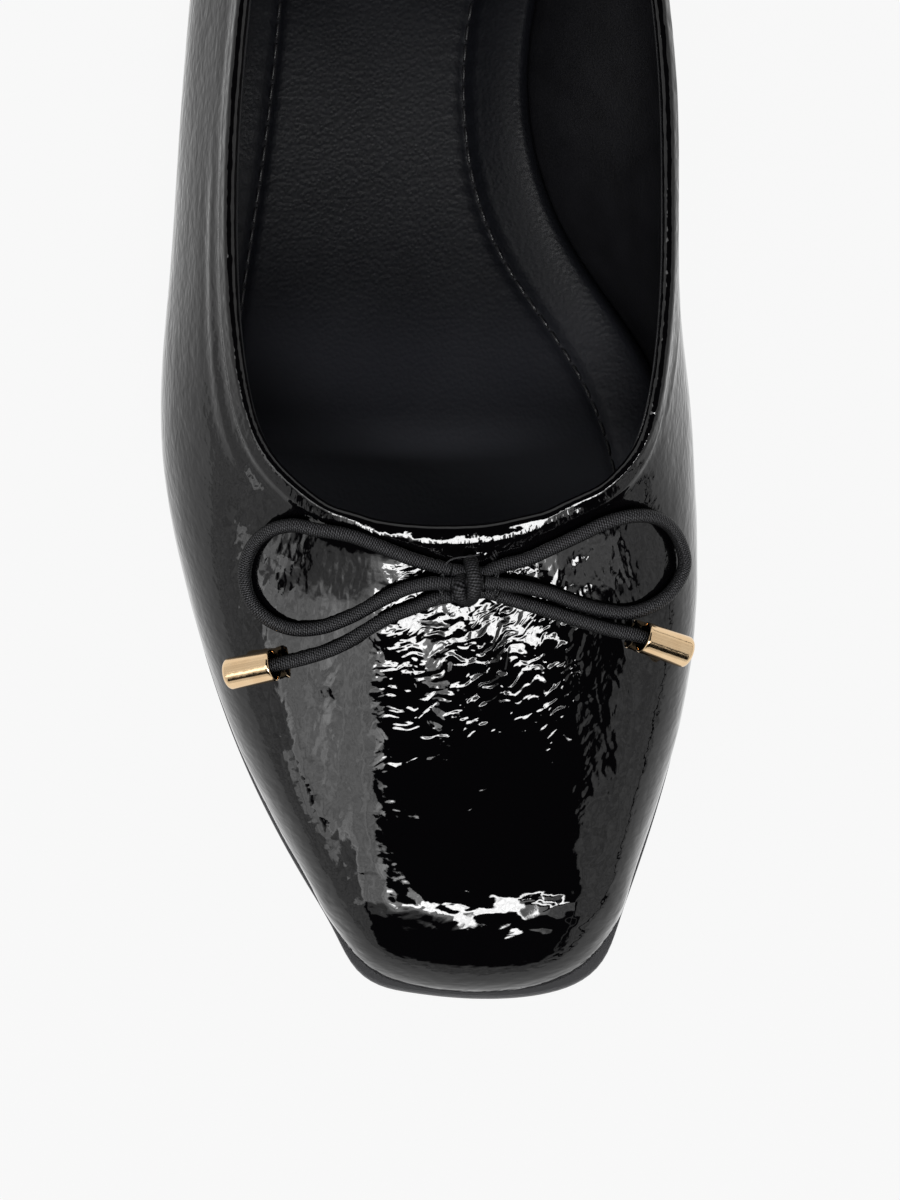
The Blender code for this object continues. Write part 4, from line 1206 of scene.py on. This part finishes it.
def add_world():
    """The studio round the shoe, drawn on the chart of the sky. Left and right are the photo's.

    A bright soft box stands beyond the toe with a dim wide one on its left and one on its right. The ceiling
    is dark, and pale walls stand further out on both sides.
    """
    world = bpy.data.worlds.new("studio")
    bpy.context.scene.world = world
    world.use_nodes = True
    s = Chart(world.node_tree)
    # The bright box, narrower towards the horizon
    from_left = s.minus(s.x, s.ramp(s.y, 31.0, 33.0, -14.0, -3.0))
    from_right = s.minus(s.ramp(s.y, 26.6, 29.6, 27.0, 13.0), s.x)
    key = s.times(s.ramp(from_left, -1.0, 1.0), s.ramp(from_right, -1.0, 1.0), s.band(s.y, 25.7, 42.0, 1.0))
    # The dim box on the left, brighter near the key, and a narrow wing beyond it
    edge = s.math("MULTIPLY_ADD", s.y, 1.4, -43.0)
    inner_edge = s.math("MINIMUM", edge, s.ramp(s.y, 31.0, 33.0, -9.0, -3.0))
    past_edge = s.ramp(s.minus(s.x, inner_edge), 1.2, -1.2)
    outer_edge = s.ramp(s.y, 27.0, 29.0, -46.0, -36.5)
    inside = s.ramp(s.minus(s.x, outer_edge), -1.0, 1.0)
    left = s.times(past_edge, inside, s.band(s.y, 5.0, 43.0, 1.5))
    near_key = s.times(s.ramp(s.x, -26.0, -10.0), s.band(s.y, 20.0, 38.0, 4.0))
    left_level = s.plus(s.ramp(s.y, 33.0, 26.0, 0.6, 2.2), s.times(near_key, 3.0))
    wing = s.times(s.band(s.x, -60.0, -43.0, 1.0), s.band(s.y, 27.5, 34.0, 1.0))
    # The dim box on the right
    right_start = s.minus(s.x, s.ramp(s.y, 31.0, 33.0, 23.0, 12.0))
    right = s.times(s.ramp(right_start, -1.0, 1.0), s.ramp(s.x, 37.0, 35.5), s.band(s.y, 28.0, 42.0, 1.5))
    brighter = s.times(s.ramp(s.x, 22.0, 15.0), s.ramp(s.y, 31.0, 33.0))
    right_level = s.math("MULTIPLY_ADD", brighter, 1.5, RIGHT_LEVEL)
    # The walls, the low sky and the dark lines in them
    left_wall = s.ramp(s.x, -40.0, -42.0, 0.0, 0.86)
    right_wall = s.ramp(s.x, 34.5, 36.0, 0.0, 0.82)
    right_gap = s.times(s.band(s.x, 36.0, 40.5, 0.8), s.ramp(s.y, 26.0, 28.0))
    walls = s.plus(left_wall, s.times(right_wall, s.minus(1.0, right_gap)))
    walls = s.math("MAXIMUM", s.math("MINIMUM", walls, 1.0), s.ramp(s.y, -38.0, -44.0))
    around = s.math("MAXIMUM", walls, s.times(s.ramp(s.tilt, 74.0, 79.0), 0.8))
    skirting = s.times(s.band(s.tilt, 82.0, 84.5, 0.4), s.ramp(s.x, 30.0, 34.0))
    around = s.times(around, s.minus(1.0, skirting))
    level = s.plus(s.times(key, KEY_LEVEL), s.times(left, left_level), s.times(right, right_level),
                   s.times(wing, WING_LEVEL), s.times(around, WALL_LEVEL))
    # The boxes' cloth, a little uneven
    chart_place = s.node("ShaderNodeCombineXYZ", inputs={"X": s.x, "Y": s.y}).outputs["Vector"]
    cloth = s.node("ShaderNodeTexNoise", inputs={
        "Vector": chart_place, "Scale": 0.30, "Detail": 2.0, "Roughness": 0.6})
    level = s.times(level, s.spread(cloth.outputs["Fac"], 0.3, 0.7, 0.66, 1.34))
    back = world.node_tree.nodes["Background"]
    s.put(back.inputs["Color"], (1.0, 1.0, 1.0))
    s.put(back.inputs["Strength"], s.plus(level, DARK_LEVEL))


add_floor()
add_world()
bpy.context.scene.view_settings.view_transform = "Standard"
bpy.context.scene.view_settings.look = "None"
